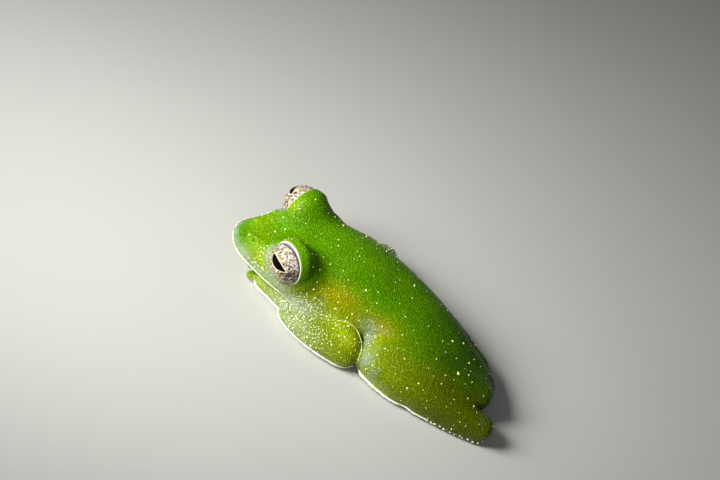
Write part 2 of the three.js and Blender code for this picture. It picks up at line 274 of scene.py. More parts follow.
def painted(tree: bpy.types.NodeTree, base: str, *layers: Layer) -> bpy.types.NodeSocket:
    """Lays colours over one another.

    Args:
        tree: The material's tree.
        base: The lowest colour.
        *layers: The colours over it, from the lowest to the highest.

    Returns:
        The socket with the colour that they make together.
    """
    colour = linear(base)
    for layer in layers:
        amount = layer.source
        if isinstance(amount, str):
            amount = add_node(tree, "ShaderNodeAttribute", attribute_name=amount).outputs["Fac"]
        if layer.span:
            start, full = layer.span
            ends = {"Value": amount, "From Min": start, "From Max": full, "To Max": layer.most}
            amount = add_node(tree, "ShaderNodeMapRange", ends, interpolation_type="SMOOTHSTEP").outputs["Result"]
        inputs = {0: amount, MIX_A: colour, MIX_B: linear(layer.colour)}
        colour = add_node(tree, "ShaderNodeMix", inputs, data_type="RGBA", blend_type=layer.blend).outputs[MIX_OUT]
    return colour


@dataclass(frozen=True)
class Finish:
    """What every finish has: a name, and a way to become a material."""

    name: str = "finish"

    def shade(self, tree: bpy.types.NodeTree) -> dict[str, Any]:
        """The Principled shader's inputs. Each finish says its own."""
        raise NotImplementedError

    def material(self) -> bpy.types.Material:
        """Builds the material."""
        made = bpy.data.materials.new(self.name)
        made.use_nodes = True
        tree = made.node_tree
        tree.nodes.clear()
        shader = add_node(tree, "ShaderNodeBsdfPrincipled", self.shade(tree))
        add_node(tree, "ShaderNodeOutputMaterial", {"Surface": shader.outputs["BSDF"]})
        return made


@dataclass(frozen=True)
class SkinFinish(Finish):
    """Living frog skin: moist, finely granular and a little see-through, so that it glows at its thin edges."""

    name: str = "frog_skin"
    back: str = "#6ba800"
    back_deep: str = "#5f9c00"
    limb: str = "#8ea600"
    yellow: str = "#b0ac00"
    lime: str = "#a9ca00"
    pale: str = "#aebb7c"
    bluish: str = "#a2b69e"
    belly: str = "#c6cbb0"
    ear: str = "#9cb04f"
    hollow: str = "#bebfb0"  # painted shade: darkens the colours between the granules, where shade falls
    shaded: str = "#b4b49c"  # painted shade: darkens the colours of the hind body, where less light falls
    enamel: str = "#f4f3dc"
    granule_mm: float = 0.17
    granule_span: Span = (0.08, 0.62)  # of the granules' pattern, from their crowns to the hollows
    granule_rise_mm: float = 0.055
    granule_strength: float = 0.8
    blotch_mm: float = 2.4
    blotch_span: Span = (0.35, 0.65)
    edge_mm: float = 0.1  # how wide the skin beside a white edge is white too

    def shade(self, tree: bpy.types.NodeTree) -> dict[str, Any]:
        """Marks on the mesh choose the colours and the painted shade of the hind body, and granules break them up,
        with painted shade in their hollows.
        """
        place = add_node(tree, "ShaderNodeTexCoord").outputs["Object"]
        grain = add_node(
            tree,
            "ShaderNodeTexVoronoi",
            {"Vector": place, "Scale": 1 / (self.granule_mm * MM), "Smoothness": 0.5},
            feature="SMOOTH_F1",
        ).outputs["Distance"]
        blotch = add_node(
            tree, "ShaderNodeTexNoise", {"Vector": place, "Scale": 1 / (self.blotch_mm * MM), "Detail": 3.0}
        ).outputs["Fac"]
        marked = ("limb", "yellow", "lime", "pale", "bluish", "belly", "ear")
        colour = painted(
            tree,
            self.back,
            Layer(self.back_deep, blotch, self.blotch_span),
            *(Layer(getattr(self, name), name) for name in marked),
            # painted shade in the hollows between the granules
            Layer(self.hollow, grain, self.granule_span, blend="MULTIPLY"),
            # painted shade over the hind body
            Layer(self.shaded, "deep", blend="MULTIPLY"),
            Layer(self.enamel, "edge_mm", (2 * self.edge_mm, self.edge_mm)),
        )
        crown, hollow = self.granule_span
        ends = {"Value": grain, "From Min": crown, "From Max": hollow, "To Min": 1.0, "To Max": 0.0}
        height = add_node(tree, "ShaderNodeMapRange", ends, interpolation_type="SMOOTHSTEP").outputs["Result"]
        bump = add_node(
            tree,
            "ShaderNodeBump",
            {"Height": height, "Strength": self.granule_strength, "Distance": self.granule_rise_mm * MM},
        ).outputs["Normal"]
        return {
            "Base Color": colour,
            "Roughness": 0.37,
            "Specular IOR Level": 0.1,
            "Subsurface Weight": 0.2,
            "Subsurface Radius": (0.8, 1.0, 0.1),
            "Subsurface Scale": 0.4 * MM,
            "Normal": bump,
        }


@dataclass(frozen=True)
class WartFinish(Finish):
    """The pale, waxy tips of warts, which catch the light as dots. The whitest tips are partly painted highlights that
    stand for glints on the granules.
    """

    name: str = "wart_tips_and_glints"
    colour: str = "#dde07a"
    # the near-white of the fine warts is partly a painted highlight
    pale: str = "#f4f3dc"

    def shade(self, tree: bpy.types.NodeTree) -> dict[str, Any]:
        """Some tips are whiter and some yellower."""
        return {
            "Base Color": painted(tree, self.colour, Layer(self.pale, "white")),
            "Roughness": 0.35,
            "Subsurface Weight": 0.2,
            "Subsurface Radius": (1.0, 1.0, 0.6),
            "Subsurface Scale": 0.12 * MM,
        }


@dataclass(frozen=True)
class EnamelFinish(Finish):
    """White skin edge: reflecting pigment under clear skin, bright like enamel and slightly uneven."""

    name: str = "white_skin_edge"
    bright: str = "#f6f5e6"
    dull: str = "#c9d0a4"
    patch_mm: float = 0.5
    patch_span: Span = (0.5, 0.7)

    def shade(self, tree: bpy.types.NodeTree) -> dict[str, Any]:
        """Patches of thinner pigment let the green show."""
        place = add_node(tree, "ShaderNodeTexCoord").outputs["Object"]
        patch = add_node(
            tree, "ShaderNodeTexNoise", {"Vector": place, "Scale": 1 / (self.patch_mm * MM), "Detail": 2.0}
        ).outputs["Fac"]
        return {
            "Base Color": painted(tree, self.bright, Layer(self.dull, patch, self.patch_span)),
            "Roughness": 0.32,
            "Subsurface Weight": 0.15,
            "Subsurface Radius": (1.0, 1.0, 0.8),
            "Subsurface Scale": 0.1 * MM,
        }


@dataclass(frozen=True)
class IrisFinish(Finish):
    """Wet eyeball: a silver iris netted with brown and flecked with gold, a black slit and a dark outer line."""

    name: str = "wet_iris"
    silver: str = "#c6beb4"
    lilac: str = "#7b6a70"
    brown: str = "#33242b"
    gold: str = "#9c9145"
    cream: str = "#cdc298"
    slit: str = "#010001"
    outer_line: str = "#241a3c"
    outer: str = "#9a94a0"
    cell_mm: float = 0.14
    lilac_span: Span = (0.35, 0.75)  # of the number that each cell draws
    gold_span: Span = (0.66, 0.9)  # of such a number and the mark on the mesh together
    brown_span: Span = (0.76, 0.94)
    brown_most: float = 0.9
    cream_span: Span = (0.12, 0.06)  # millimetres from the slit
    slit_span: Span = (0.025, 0.0)
    limbus: float = 76.0  # degrees from the middle of the iris to its edge
    line_span: Span = (-3.0, -1.0)  # degrees past that edge
    outer_span: Span = (0.5, 2.5)

    def shade(self, tree: bpy.types.NodeTree) -> dict[str, Any]:
        """The mesh says how far each point is from the slit and the iris's middle, and where gold and brown gather."""
        place = add_node(tree, "ShaderNodeTexCoord").outputs["Object"]
        cells = add_node(tree, "ShaderNodeTexVoronoi", {"Vector": place, "Scale": 1 / (self.cell_mm * MM)})
        draws = add_node(tree, "ShaderNodeSeparateColor", {"Color": cells.outputs["Color"]}).outputs
        golden, browned = (
            add_node(
                tree,
                "ShaderNodeMath",
                {0: draws[draw], 1: add_node(tree, "ShaderNodeAttribute", attribute_name=name).outputs["Fac"]},
                operation="ADD",
            ).outputs[0]
            for draw, name in (("Green", "gold"), ("Blue", "brown"))
        )
        line, beyond = (tuple(self.limbus + past for past in span) for span in (self.line_span, self.outer_span))
        colour = painted(
            tree,
            self.silver,
            Layer(self.lilac, draws["Red"], self.lilac_span),
            Layer(self.gold, golden, self.gold_span),
            Layer(self.brown, browned, self.brown_span, self.brown_most),
            Layer(self.outer_line, "polar", line),
            Layer(self.outer, "polar", beyond),
            Layer(self.cream, "slit_mm", self.cream_span),
            Layer(self.slit, "slit_mm", self.slit_span),
        )
        return {
            "Base Color": colour,
            "Roughness": 0.4,
            "Specular IOR Level": 0.05,
            "Coat Weight": 0.05,
            "Coat Roughness": 0.03,
        }


@dataclass(frozen=True)
class LidFinish(Finish):
    """The bare, moist margin of the lids: cream skin with hardly any pigment."""

    name: str = "lid_margin"
    cream: str = "#d3d1b8"
    green: str = "#93a857"

    def shade(self, tree: bpy.types.NodeTree) -> dict[str, Any]:
        """Cream against the eye, turning green where it meets the skin."""
        return {
            "Base Color": painted(tree, self.cream, Layer(self.green, "outward")),
            "Roughness": 0.28,
            "Subsurface Weight": 0.2,
            "Subsurface Radius": (1.0, 1.0, 0.6),
            "Subsurface Scale": 0.15 * MM,
            "Coat Weight": 0.3,
            "Coat Roughness": 0.1,
        }


@dataclass(frozen=True)
class FloorFinish(Finish):
    """Matt painted board, pale and nearly plain."""

    name: str = "pale_board"
    paint: str = "#d0cfc9"
    worn: str = "#c9c8c1"
    cloud_mm: float = 25.0

    def shade(self, tree: bpy.types.NodeTree) -> dict[str, Any]:
        """A faint unevenness keeps the paint from looking empty."""
        place = add_node(tree, "ShaderNodeTexCoord").outputs["Object"]
        cloud = add_node(
            tree, "ShaderNodeTexNoise", {"Vector": place, "Scale": 1 / (self.cloud_mm * MM)}
        ).outputs["Fac"]
        return {"Base Color": painted(tree, self.paint, Layer(self.worn, cloud)), "Roughness": 0.75}


# Growing one skin from overlapping forms


def station(
    left: float,
    back: float,
    height: float,
    wide: float,
    high: float,
    deep: float | None = None,
    above: float = 2.0,
    below: float = 2.0,
) -> Row:
    """One place along a swept form.

    Args:
        left: Distance to the left of the middle.
        back: Distance behind the snout's tip.
        height: Distance above the floor.
        wide: The section's half width.
        high: How far it reaches above the centre.
        deep: How far it reaches below the centre, or as far as above.
        above: The exponent of its upper half: 2 is round, more is boxier, less is ridged.
        below: The exponent of its lower half.

    Returns:
        The numbers as one row.
    """
    return (left, back, height, wide, high, high if deep is None else deep, above, below)


def line_along(rows: Rows, out: float, up: float, side: float = 1.0, height: float | None = None) -> Rows:
    """A line along a swept form, on or near its face.

    Args:
        rows: The form's stations.
        out: How far outwards it runs, as a share of each station's half width.
        up: How far above the middle, as a share of the half height.
        side: 1 on the left and -1 on the right.
        height: The line's height above the floor, if it keeps to one.

    Returns:
        The line's places.
    """
    return tuple(
        (side * (row[0] + out * row[3]), row[1], row[2] + up * row[4] if height is None else height) for row in rows
    )


def mesh_of(bm: bmesh.types.BMesh, name: str) -> bpy.types.Mesh:
    """Turns a bmesh into a mesh with its faces pointing out."""
    bmesh.ops.recalc_face_normals(bm, faces=bm.faces)
    mesh = bpy.data.meshes.new(name)
    bm.to_mesh(mesh)
    bm.free()
    return mesh


def placed(name: str, data: bpy.types.ID) -> bpy.types.Object:
    """Puts a new object into the scene."""
    made = bpy.data.objects.new(name, data)
    bpy.context.scene.collection.objects.link(made)
    return made


def set_mesh(holder: bpy.types.Object) -> bpy.types.Mesh:
    """The mesh that an object's modifiers or its curve give. The object itself is removed."""
    made = bpy.data.meshes.new_from_object(holder.evaluated_get(bpy.context.evaluated_depsgraph_get()))
    bpy.data.objects.remove(holder)
    return made


class Growth:
    """Closed forms that overlap, to be grown together into one skin."""

    def __init__(self, plan: BodyPlan) -> None:
        """Starts with no forms."""
        self.plan = plan
        self.bm = bmesh.new()

    def _sphere(self, around: int, along: int) -> tuple[bmesh.types.BMesh, np.ndarray]:
        """Makes a unit sphere, and gives it with the places of its points."""
        bm = bmesh.new()
        bmesh.ops.create_uvsphere(bm, u_segments=around, v_segments=along, radius=1.0)
        return bm, np.array([v.co for v in bm.verts])

    def _add(self, bm: bmesh.types.BMesh, points: np.ndarray, turn: bool) -> None:
        """Moves the points of a form to their places, and adds it to the others."""
        for vert, point in zip(bm.verts, self.plan.turned(points) if turn else points):
            vert.co = point
        self._join(bm)

    def _join(self, bm: bmesh.types.BMesh) -> None:
        """Adds a finished form to the others."""
        form = mesh_of(bm, "form")
        self.bm.from_mesh(form)
        bpy.data.meshes.remove(form)

    def sweep(
        self,
        rows: Rows,
        side: Side = Side.LEFT,
        caps: Span = (1.0, 1.0),
        around: int = 36,
        along: int = 56,
        turn: bool = False,
    ) -> None:
        """Adds a rounded form along a curve.

        Args:
            rows: Its stations.
            side: The side of the body it is on.
            caps: The lengths over which its ends round off.
            around: Faces round it.
            along: Faces along it.
            turn: Whether it turns with the head.
        """
        form, ball = self._sphere(around, along)
        table = np.array(rows)
        t = np.clip((1 - ball[:, 2]) / 2, 0, 1)
        values = curve(table, t)
        step = 1e-3
        tangent = unit(curve(table, t + step)[:, :3] - curve(table, t - step)[:, :3])
        across = unit(np.cross([0.0, 0.0, 1.0], tangent))
        rise = np.cross(tangent, across)
        steps = np.diff(curve(table, np.linspace(0, 1, 100))[:, :3], axis=0)
        length = np.linalg.norm(steps, axis=1).sum()
        start = np.minimum(1, t * length / caps[0])
        end = np.minimum(1, (1 - t) * length / caps[1])
        cap = np.sqrt(start * (2 - start) * end * (2 - end))
        ring = np.hypot(ball[:, 0], ball[:, 1])
        c, s = ball[:, :2].T / np.maximum(ring, 1e-9)
        upper = s > 0
        power = np.where(upper, values[:, 6], values[:, 7])
        corner = np.maximum(np.abs(c) ** power + np.abs(s) ** power, 1e-9) ** (-1 / power)
        corner = np.where(ring < 1e-6, 0, corner * cap)
        rises = np.where(upper, values[:, 4], values[:, 5])
        points = values[:, :3] + across * (c * corner * values[:, 3])[:, None] + rise * (s * corner * rises)[:, None]
        points = self.plan.at(points) * (side.value, 1, 1)
        self._add(form, points, turn)

    def ball(self, place: Row, radii: Row, side: Side = Side.LEFT, turn: bool = False, faces: int = 40) -> None:
        """Adds an ellipsoid.

        Args:
            place: Its centre.
            radii: Its half sizes along X, Y and Z.
            side: The side of the body it is on.
            turn: Whether it turns with the head.
            faces: Faces round it.
        """
        form, ball = self._sphere(faces, faces // 2)
        self._add(form, self.plan.at(ball * radii + place) * (side.value, 1, 1), turn)

    def slab(self, places: Rows, side: Side, thickness: float) -> None:
        """Adds a flat web between points on the floor plan.

        Args:
            places: Its corners in order.
            side: The side of the body it is on.
            thickness: How high it stands.
        """
        corners = self.plan.at(places) * (side.value, 1, 1)
        bm = bmesh.new()
        face = bm.faces.new([bm.verts.new(c) for c in corners])
        raised = bmesh.ops.extrude_face_region(bm, geom=[face])
        tops = [g for g in raised["geom"] if isinstance(g, bmesh.types.BMVert)]
        bmesh.ops.translate(bm, verts=tops, vec=(0, 0, thickness))
        self._join(bm)

    def skin(self, voxel: float) -> bpy.types.Mesh:
        """Grows the forms together.

        Args:
            voxel: The size of the skin's faces.

        Returns:
            One closed mesh.
        """
        forms = bpy.data.meshes.new("forms")
        self.bm.to_mesh(forms)
        self.bm.free()
        holder = placed("forms", forms)
        remesh = holder.modifiers.new("grow_together", "REMESH")
        remesh.mode = "VOXEL"
        remesh.voxel_size = voxel
        grown = set_mesh(holder)
        bpy.data.meshes.remove(forms)
        return grown


# The flesh


@dataclass(frozen=True)
class Trunk:
    """Head, throat and torso as one form, with the head's ridges and bulges.

    Each row: distance behind the snout, half width, bottom, widest, top, and the section's exponents.
    """

    rows: Rows = (
        (0.05, 0.9, 1.3, 1.85, 2.15, 1.8, 2.0),
        (0.5, 1.65, 1.1, 1.85, 2.6, 1.75, 2.0),
        (1.5, 2.65, 1.0, 1.85, 3.12, 1.7, 2.2),
        (3.2, 3.65, 1.0, 1.85, 3.85, 1.75, 2.3),
        (5.4, 4.4, 1.0, 1.95, 4.85, 1.95, 2.3),
        (7.8, 4.9, 0.7, 2.15, 5.75, 2.15, 2.3),
        (10.4, 4.85, -0.2, 2.5, 6.15, 2.2, 2.3),
        (13.0, 4.6, -0.3, 2.8, 6.1, 2.2, 2.2),
        (15.5, 4.25, -0.3, 3.1, 5.75, 2.1, 1.9),
        (18.0, 3.75, -0.3, 3.15, 5.3, 2.05, 1.8),
        (20.5, 3.2, -0.3, 2.9, 4.65, 2.0, 1.8),
        (22.8, 2.45, -0.1, 2.4, 3.85, 2.0, 1.9),
        (24.8, 2.05, 0.35, 1.9, 3.15, 2.0, 2.0),
        (26.9, 1.35, 0.7, 1.6, 2.35, 2.0, 2.0),
    )
    lip_radius: float = 0.24
    lip_rise: float = 0.2  # of the lip's middle above the line of the mouth
    lip_tip: float = 0.22  # behind the snout's tip
    lip_back: float = 0.1  # behind each row
    lip_in: Span = (0.16, 0.14)  # inside the half width, and how much further at the snout
    canthus: Rows = (
        station(2.6, 4.2, 3.65, 1.0, 1.0),
        station(2.05, 2.85, 3.22, 0.75, 0.72),
        station(1.3, 1.8, 2.85, 0.5, 0.48),
    )
    swells: tuple[tuple[Row, Row], ...] = (
        ((3.5, 5.05, 4.62), (2.02, 2.05, 2.02)),
        ((3.05, 6.4, 4.0), (1.8, 2.15, 1.65)),
        ((2.3, 4.7, 4.1), (1.7, 2.0, 1.15)),
    )
    nostril: Row = (1.2, 1.65, 3.12)
    nostril_radii: Row = (0.46, 0.54, 0.42)

    def lip_places(self, plan: BodyPlan, side: Side) -> Rows:
        """The middle of the upper lip, from the snout's tip back to the corner of the mouth."""
        height = plan.mouth + self.lip_rise
        everywhere, ahead = self.lip_in
        places = (
            (side.value * (wide - (everywhere + ahead / (1 + back))), back + self.lip_back, height)
            for back, wide, *_ in self.rows[1:6]
        )
        return ((0.0, self.lip_tip, height), *places)

    def grow(self, growth: Growth) -> None:
        """Adds the forms."""
        plan = growth.plan
        stations = tuple(
            station(plan.spine(back), back, widest, wide, top - widest, widest - bottom, above, below)
            for back, wide, bottom, widest, top, above, below in self.rows
        )
        growth.sweep(stations, caps=(0.9, 1.2), around=96, along=160, turn=True)
        radius = self.lip_radius
        lip = [*reversed(self.lip_places(plan, Side.RIGHT)), *self.lip_places(plan, Side.LEFT)[1:]]
        growth.sweep(tuple(station(*p, radius, radius) for p in lip), caps=(2, 2), around=16, along=160, turn=True)
        for side in Side:
            growth.ball(plan.eye, (plan.lid_radius,) * 3, side, turn=True, faces=56)
            for place, radii in self.swells:
                growth.ball(place, radii, side, turn=True)
            growth.sweep(self.canthus, side, caps=(0.8, 0.4), turn=True)
            growth.ball(self.nostril, self.nostril_radii, side, turn=True)


@dataclass(frozen=True)
class Digits:
    """Palm or sole, digits with their round discs, and the webs between them."""

    pad: Rows
    digits: tuple[tuple[Row, Row, Row], ...]
    webs: tuple[tuple[int, float], ...]  # which digit a web starts from, and how far out it reaches
    digit_radius: float = 0.34
    disc_radius: float = 0.55
    disc_half: float = 0.3
    digit_height: float = 0.38
    digit_drop: float = 0.04  # from one joint to the next
    disc_height: float = 0.26
    web_thickness: float = 0.42

    def grow(self, growth: Growth, side: Side, inward: float = 0.0) -> None:
        """Adds the forms.

        Args:
            growth: What they are added to.
            side: The side of the body.
            inward: How much nearer the middle they lie than the table says.
        """
        growth.sweep(tuple((left - inward, *rest) for left, *rest in self.pad), side, caps=(0.5, 0.6))
        lines = [[(left - inward, back) for left, back in digit] for digit in self.digits]
        for line in lines:
            rows = tuple(
                station(left, back, self.digit_height - self.digit_drop * i, self.digit_radius, self.digit_radius)
                for i, (left, back) in enumerate(line)
            )
            growth.sweep(rows, side, caps=(0.3, 0.3), around=16, along=24)
            radii = (self.disc_radius, self.disc_radius, self.disc_half)
            growth.ball((*line[-1], self.disc_height), radii, side, faces=24)
        for i, reach in self.webs:
            first, second = lines[i], lines[i + 1]
            out = [tuple(a + (b - a) * reach for a, b in zip(line[0], line[2])) for line in (first, second)]
            middle = tuple(sum(p) / 4 for p in zip(out[0], out[1], first[0], second[0]))
            corners = (first[0], out[0], middle, out[1], second[0])
            growth.slab(tuple((*c, 0.0) for c in corners), side, self.web_thickness)


EDGE_HEIGHT = 0.5  # of the white edges, above the floor
EDGE_OUT = 0.97  # and how far out they run, as a share of the half width


@dataclass(frozen=True)
class Arm:
    """Upper arm, forearm and hand, folded along the flank with the hand under the chin."""

    upper: Rows = (
        station(4.2, 10.6, 1.9, 0.8, 0.8),
        station(5.0, 11.8, 2.0, 1.1, 1.1),
        station(5.7, 13.0, 1.95, 1.15, 1.15),
        station(6.1, 14.05, 1.5, 0.95, 0.95),
    )
    fore: Rows = (
        station(6.35, 14.5, 1.05, 0.9, 0.9),
        station(6.35, 12.5, 1.15, 1.3, 1.3, 1.15),
        station(6.05, 10.2, 1.1, 1.5, 1.3, 1.1),
        station(5.45, 8.3, 0.9, 1.4, 1.05, 0.9),
        station(4.75, 7.0, 0.75, 1.0, 0.8, 0.75),
    )
    far_lift: float = 0.25  # of the right upper arm, which shows beyond the back
    elbow_turn: tuple[Span, ...] = ((0.45, 0.0), (-0.9, 0.4))  # outwards and behind, in half widths
    elbow_rim: Rows = (
        (4.75, 11.2, 2.25),
        (4.7, 12.0, 2.5),
        (5.0, 12.95, 2.7),
        (5.5, 13.6, 2.5),
        (5.9, 14.2, 1.9),
        (6.1, 14.8, 1.0),
    )
    hand: Digits = Digits(
        pad=(
            station(4.75, 7.2, 0.7, 0.85, 0.75, 0.65),
            station(3.95, 6.0, 0.7, 1.05, 0.85, 0.65),
            station(3.55, 4.9, 0.6, 1.05, 0.75, 0.55),
            station(3.0, 4.0, 0.5, 0.9, 0.6, 0.45),
        ),
        digits=(
            ((3.8, 6.5), (2.6, 6.1), (1.5, 5.6)),
            ((3.7, 6.0), (2.6, 4.9), (1.6, 4.1)),
            ((3.6, 5.3), (2.8, 4.1), (2.0, 3.0)),
            ((3.8, 5.4), (3.6, 4.5), (3.3, 3.45)),
        ),
        webs=((2, 0.45),),
    )

    def edge(self) -> Rows:
        """The outer edge of the left hand and forearm on the floor, ending round the elbow."""
        outer = line_along(self.hand.pad[:0:-1] + self.fore[:0:-1], EDGE_OUT, 0.0, height=EDGE_HEIGHT)
        left, back, _, wide = self.fore[0][:4]
        return (*outer, *((left + out * wide, back + behind * wide, EDGE_HEIGHT) for out, behind in self.elbow_turn))

    def grow(self, growth: Growth, side: Side) -> None:
        """Adds the forms."""
        lift = self.far_lift if side is Side.RIGHT else 0.0
        upper = tuple((*row[:2], row[2] + lift, *row[3:]) for row in self.upper)
        growth.sweep(upper, side, caps=(1.0, 0.9))
        growth.sweep(self.fore, side, caps=(0.9, 0.5))
        self.hand.grow(growth, side)


@dataclass(frozen=True)
class Leg:
    """Thigh, shank, tarsus and foot, folded on top of one another."""

    side: Side
    thigh: Rows
    shank: Rows
    tarsus: Rows
    knee: tuple[Row, Row]  # the kneecap's place and radii
    foot_in: float = 0.0
    foot: Digits = Digits(
        pad=(
            station(6.55, 20.0, 0.5, 0.75, 0.45),
            station(6.5, 18.8, 0.45, 0.95, 0.45),
            station(6.4, 17.4, 0.4, 1.0, 0.4),
        ),
        digits=(
            ((5.8, 19.6), (5.0, 19.1), (4.2, 18.9)),
            ((5.8, 18.8), (4.8, 17.8), (4.0, 17.2)),
            ((6.0, 18.4), (5.1, 16.9), (4.4, 15.8)),
            ((6.3, 18.2), (5.8, 16.7), (5.2, 15.2)),
            ((6.8, 18.6), (6.9, 17.1), (6.3, 15.8)),
        ),
        webs=((0, 0.4), (1, 0.5), (2, 0.6), (3, 0.65)),
    )
    edge_knee: tuple[Span, ...] = ((0.35, -0.7), (0.5, 0.0))  # outwards and behind, as shares of the kneecap's radii
    edge_toe: Span = (0.5, 0.2)  # outwards and behind the last toe's tip, in millimetres
    crease_knee: Row = (0.5, -0.8, 0.5)  # where the crease starts, as shares of the kneecap's radii
    crease_thigh: Span = (-0.3, 0.8)  # outwards and upwards, as shares of the thigh's half width and height
    heel_out: float = 0.85  # of the warts' row, as a share of the tarsus's half width

    def grow(self, growth: Growth) -> None:
        """Adds the forms."""
        growth.sweep(self.thigh, self.side, caps=(1.2, 1.1))
        growth.sweep(self.shank, self.side, caps=(1.0, 0.8))
        growth.sweep(self.tarsus, self.side, caps=(0.7, 0.6))
        growth.ball(*self.knee, self.side)
        self.foot.grow(growth, self.side, self.foot_in)

    def edge(self) -> Rows:
        """The outer edge of the leg on the floor, from the knee along the foot to the middle of the tarsus."""
        (left, back, _), (wide, long, _) = self.knee
        toe_left, toe_back = self.foot.digits[-1][-1]
        toe_out, toe_behind = self.edge_toe
        return (
            *((left + out * wide, back + behind * long, EDGE_HEIGHT) for out, behind in self.edge_knee),
            (toe_left + toe_out, toe_back + toe_behind, EDGE_HEIGHT),
            *line_along((self.foot.pad[-1], *self.tarsus[:1:-1]), EDGE_OUT, 0.0, height=EDGE_HEIGHT),
        )

    def knee_crease(self) -> Rows:
        """The crease between the flank and the knee, from the knee's front up over the thigh."""
        middle, radii = self.knee
        front = tuple(place + share * radius for place, share, radius in zip(middle, self.crease_knee, radii))
        return (front, *line_along(self.thigh[:2:-1], *self.crease_thigh))

    def heel_row(self) -> Rows:
        """The outer edge of the tarsus on the floor, from its middle to the heel."""
        return line_along(self.tarsus[2::-1], self.heel_out, 0.0, height=EDGE_HEIGHT)


LEFT_LEG = Leg(
    Side.LEFT,
    thigh=(
        station(2.3, 26.6, 1.9, 1.2, 1.15),
        station(2.75, 24.8, 2.15, 1.5, 1.4),
        station(3.4, 22.4, 2.6, 1.6, 1.5),
        station(4.1, 19.9, 2.95, 1.6, 1.5),
        station(4.65, 17.5, 2.95, 1.4, 1.4),
        station(5.1, 14.6, 2.45, 1.15, 1.25),
    ),
    shank=(
        station(5.6, 14.5, 1.8, 1.0, 1.1, 1.3, 2.0, 2.6),
        station(6.0, 17.2, 2.05, 1.35, 1.3, 1.6, 2.0, 3.0),
        station(6.1, 20.4, 1.95, 1.35, 1.3, 1.6, 2.0, 3.0),
        station(5.7, 24.0, 1.75, 1.25, 1.15, 1.4, 2.0, 2.6),
        station(4.9, 27.85, 1.4, 1.2, 1.0, 1.1),
    ),
    tarsus=(
        station(5.15, 27.7, 0.3, 0.75, 0.6, 0.5),
        station(5.9, 25.0, 0.5, 0.75, 0.6, 0.7),
        station(6.3, 22.3, 0.55, 0.75, 0.6, 0.7),
        station(6.6, 20.2, 0.5, 0.75, 0.5, 0.6),
    ),
    knee=((5.2, 15.0, 1.75), (1.4, 0.85, 1.45)),
)

RIGHT_LEG = Leg(
    Side.RIGHT,
    thigh=(
        station(-0.1, 25.6, 1.9, 1.1, 1.1),
        station(1.15, 22.6, 2.1, 1.25, 1.2),
        station(2.3, 20.0, 2.3, 1.35, 1.3),
        station(3.15, 17.8, 2.4, 1.3, 1.3),
        station(3.8, 15.6, 2.2, 1.1, 1.1),
    ),
    shank=(
        station(4.2, 15.4, 1.6, 1.0, 0.95, 0.9),
        station(4.4, 17.8, 1.6, 1.1, 1.0, 1.1),
        station(3.55, 20.4, 1.55, 1.1, 1.0, 1.1),
        station(2.05, 23.4, 1.4, 1.0, 0.95, 1.0),
        station(0.35, 26.1, 1.25, 0.8, 0.75, 0.8),
    ),
    tarsus=(
        station(0.5, 26.2, 0.2, 0.7, 0.4, 0.4),
        station(2.2, 24.0, 0.3, 0.75, 0.45, 0.5),
        station(3.8, 21.6, 0.4, 0.75, 0.45, 0.6),
        station(4.5, 19.9, 0.4, 0.75, 0.45, 0.6),
    ),
    knee=((4.0, 15.7, 1.7), (0.9, 0.8, 1.1)),
    foot_in=2.1,
)


def neighbour_sums(values: np.ndarray, ends: np.ndarray, size: int) -> np.ndarray:
    """Adds up the values of each point's neighbours.

    Args:
        values: One row of three numbers for each point.
        ends: The points at the two ends of each edge, as two rows.
        size: How many points there are.

    Returns:
        One row of sums for each point.
    """
    first, second = ends
    return np.stack(
        [np.bincount(first, values[second, k], size) + np.bincount(second, values[first, k], size) for k in range(3)],
        axis=1,
    )


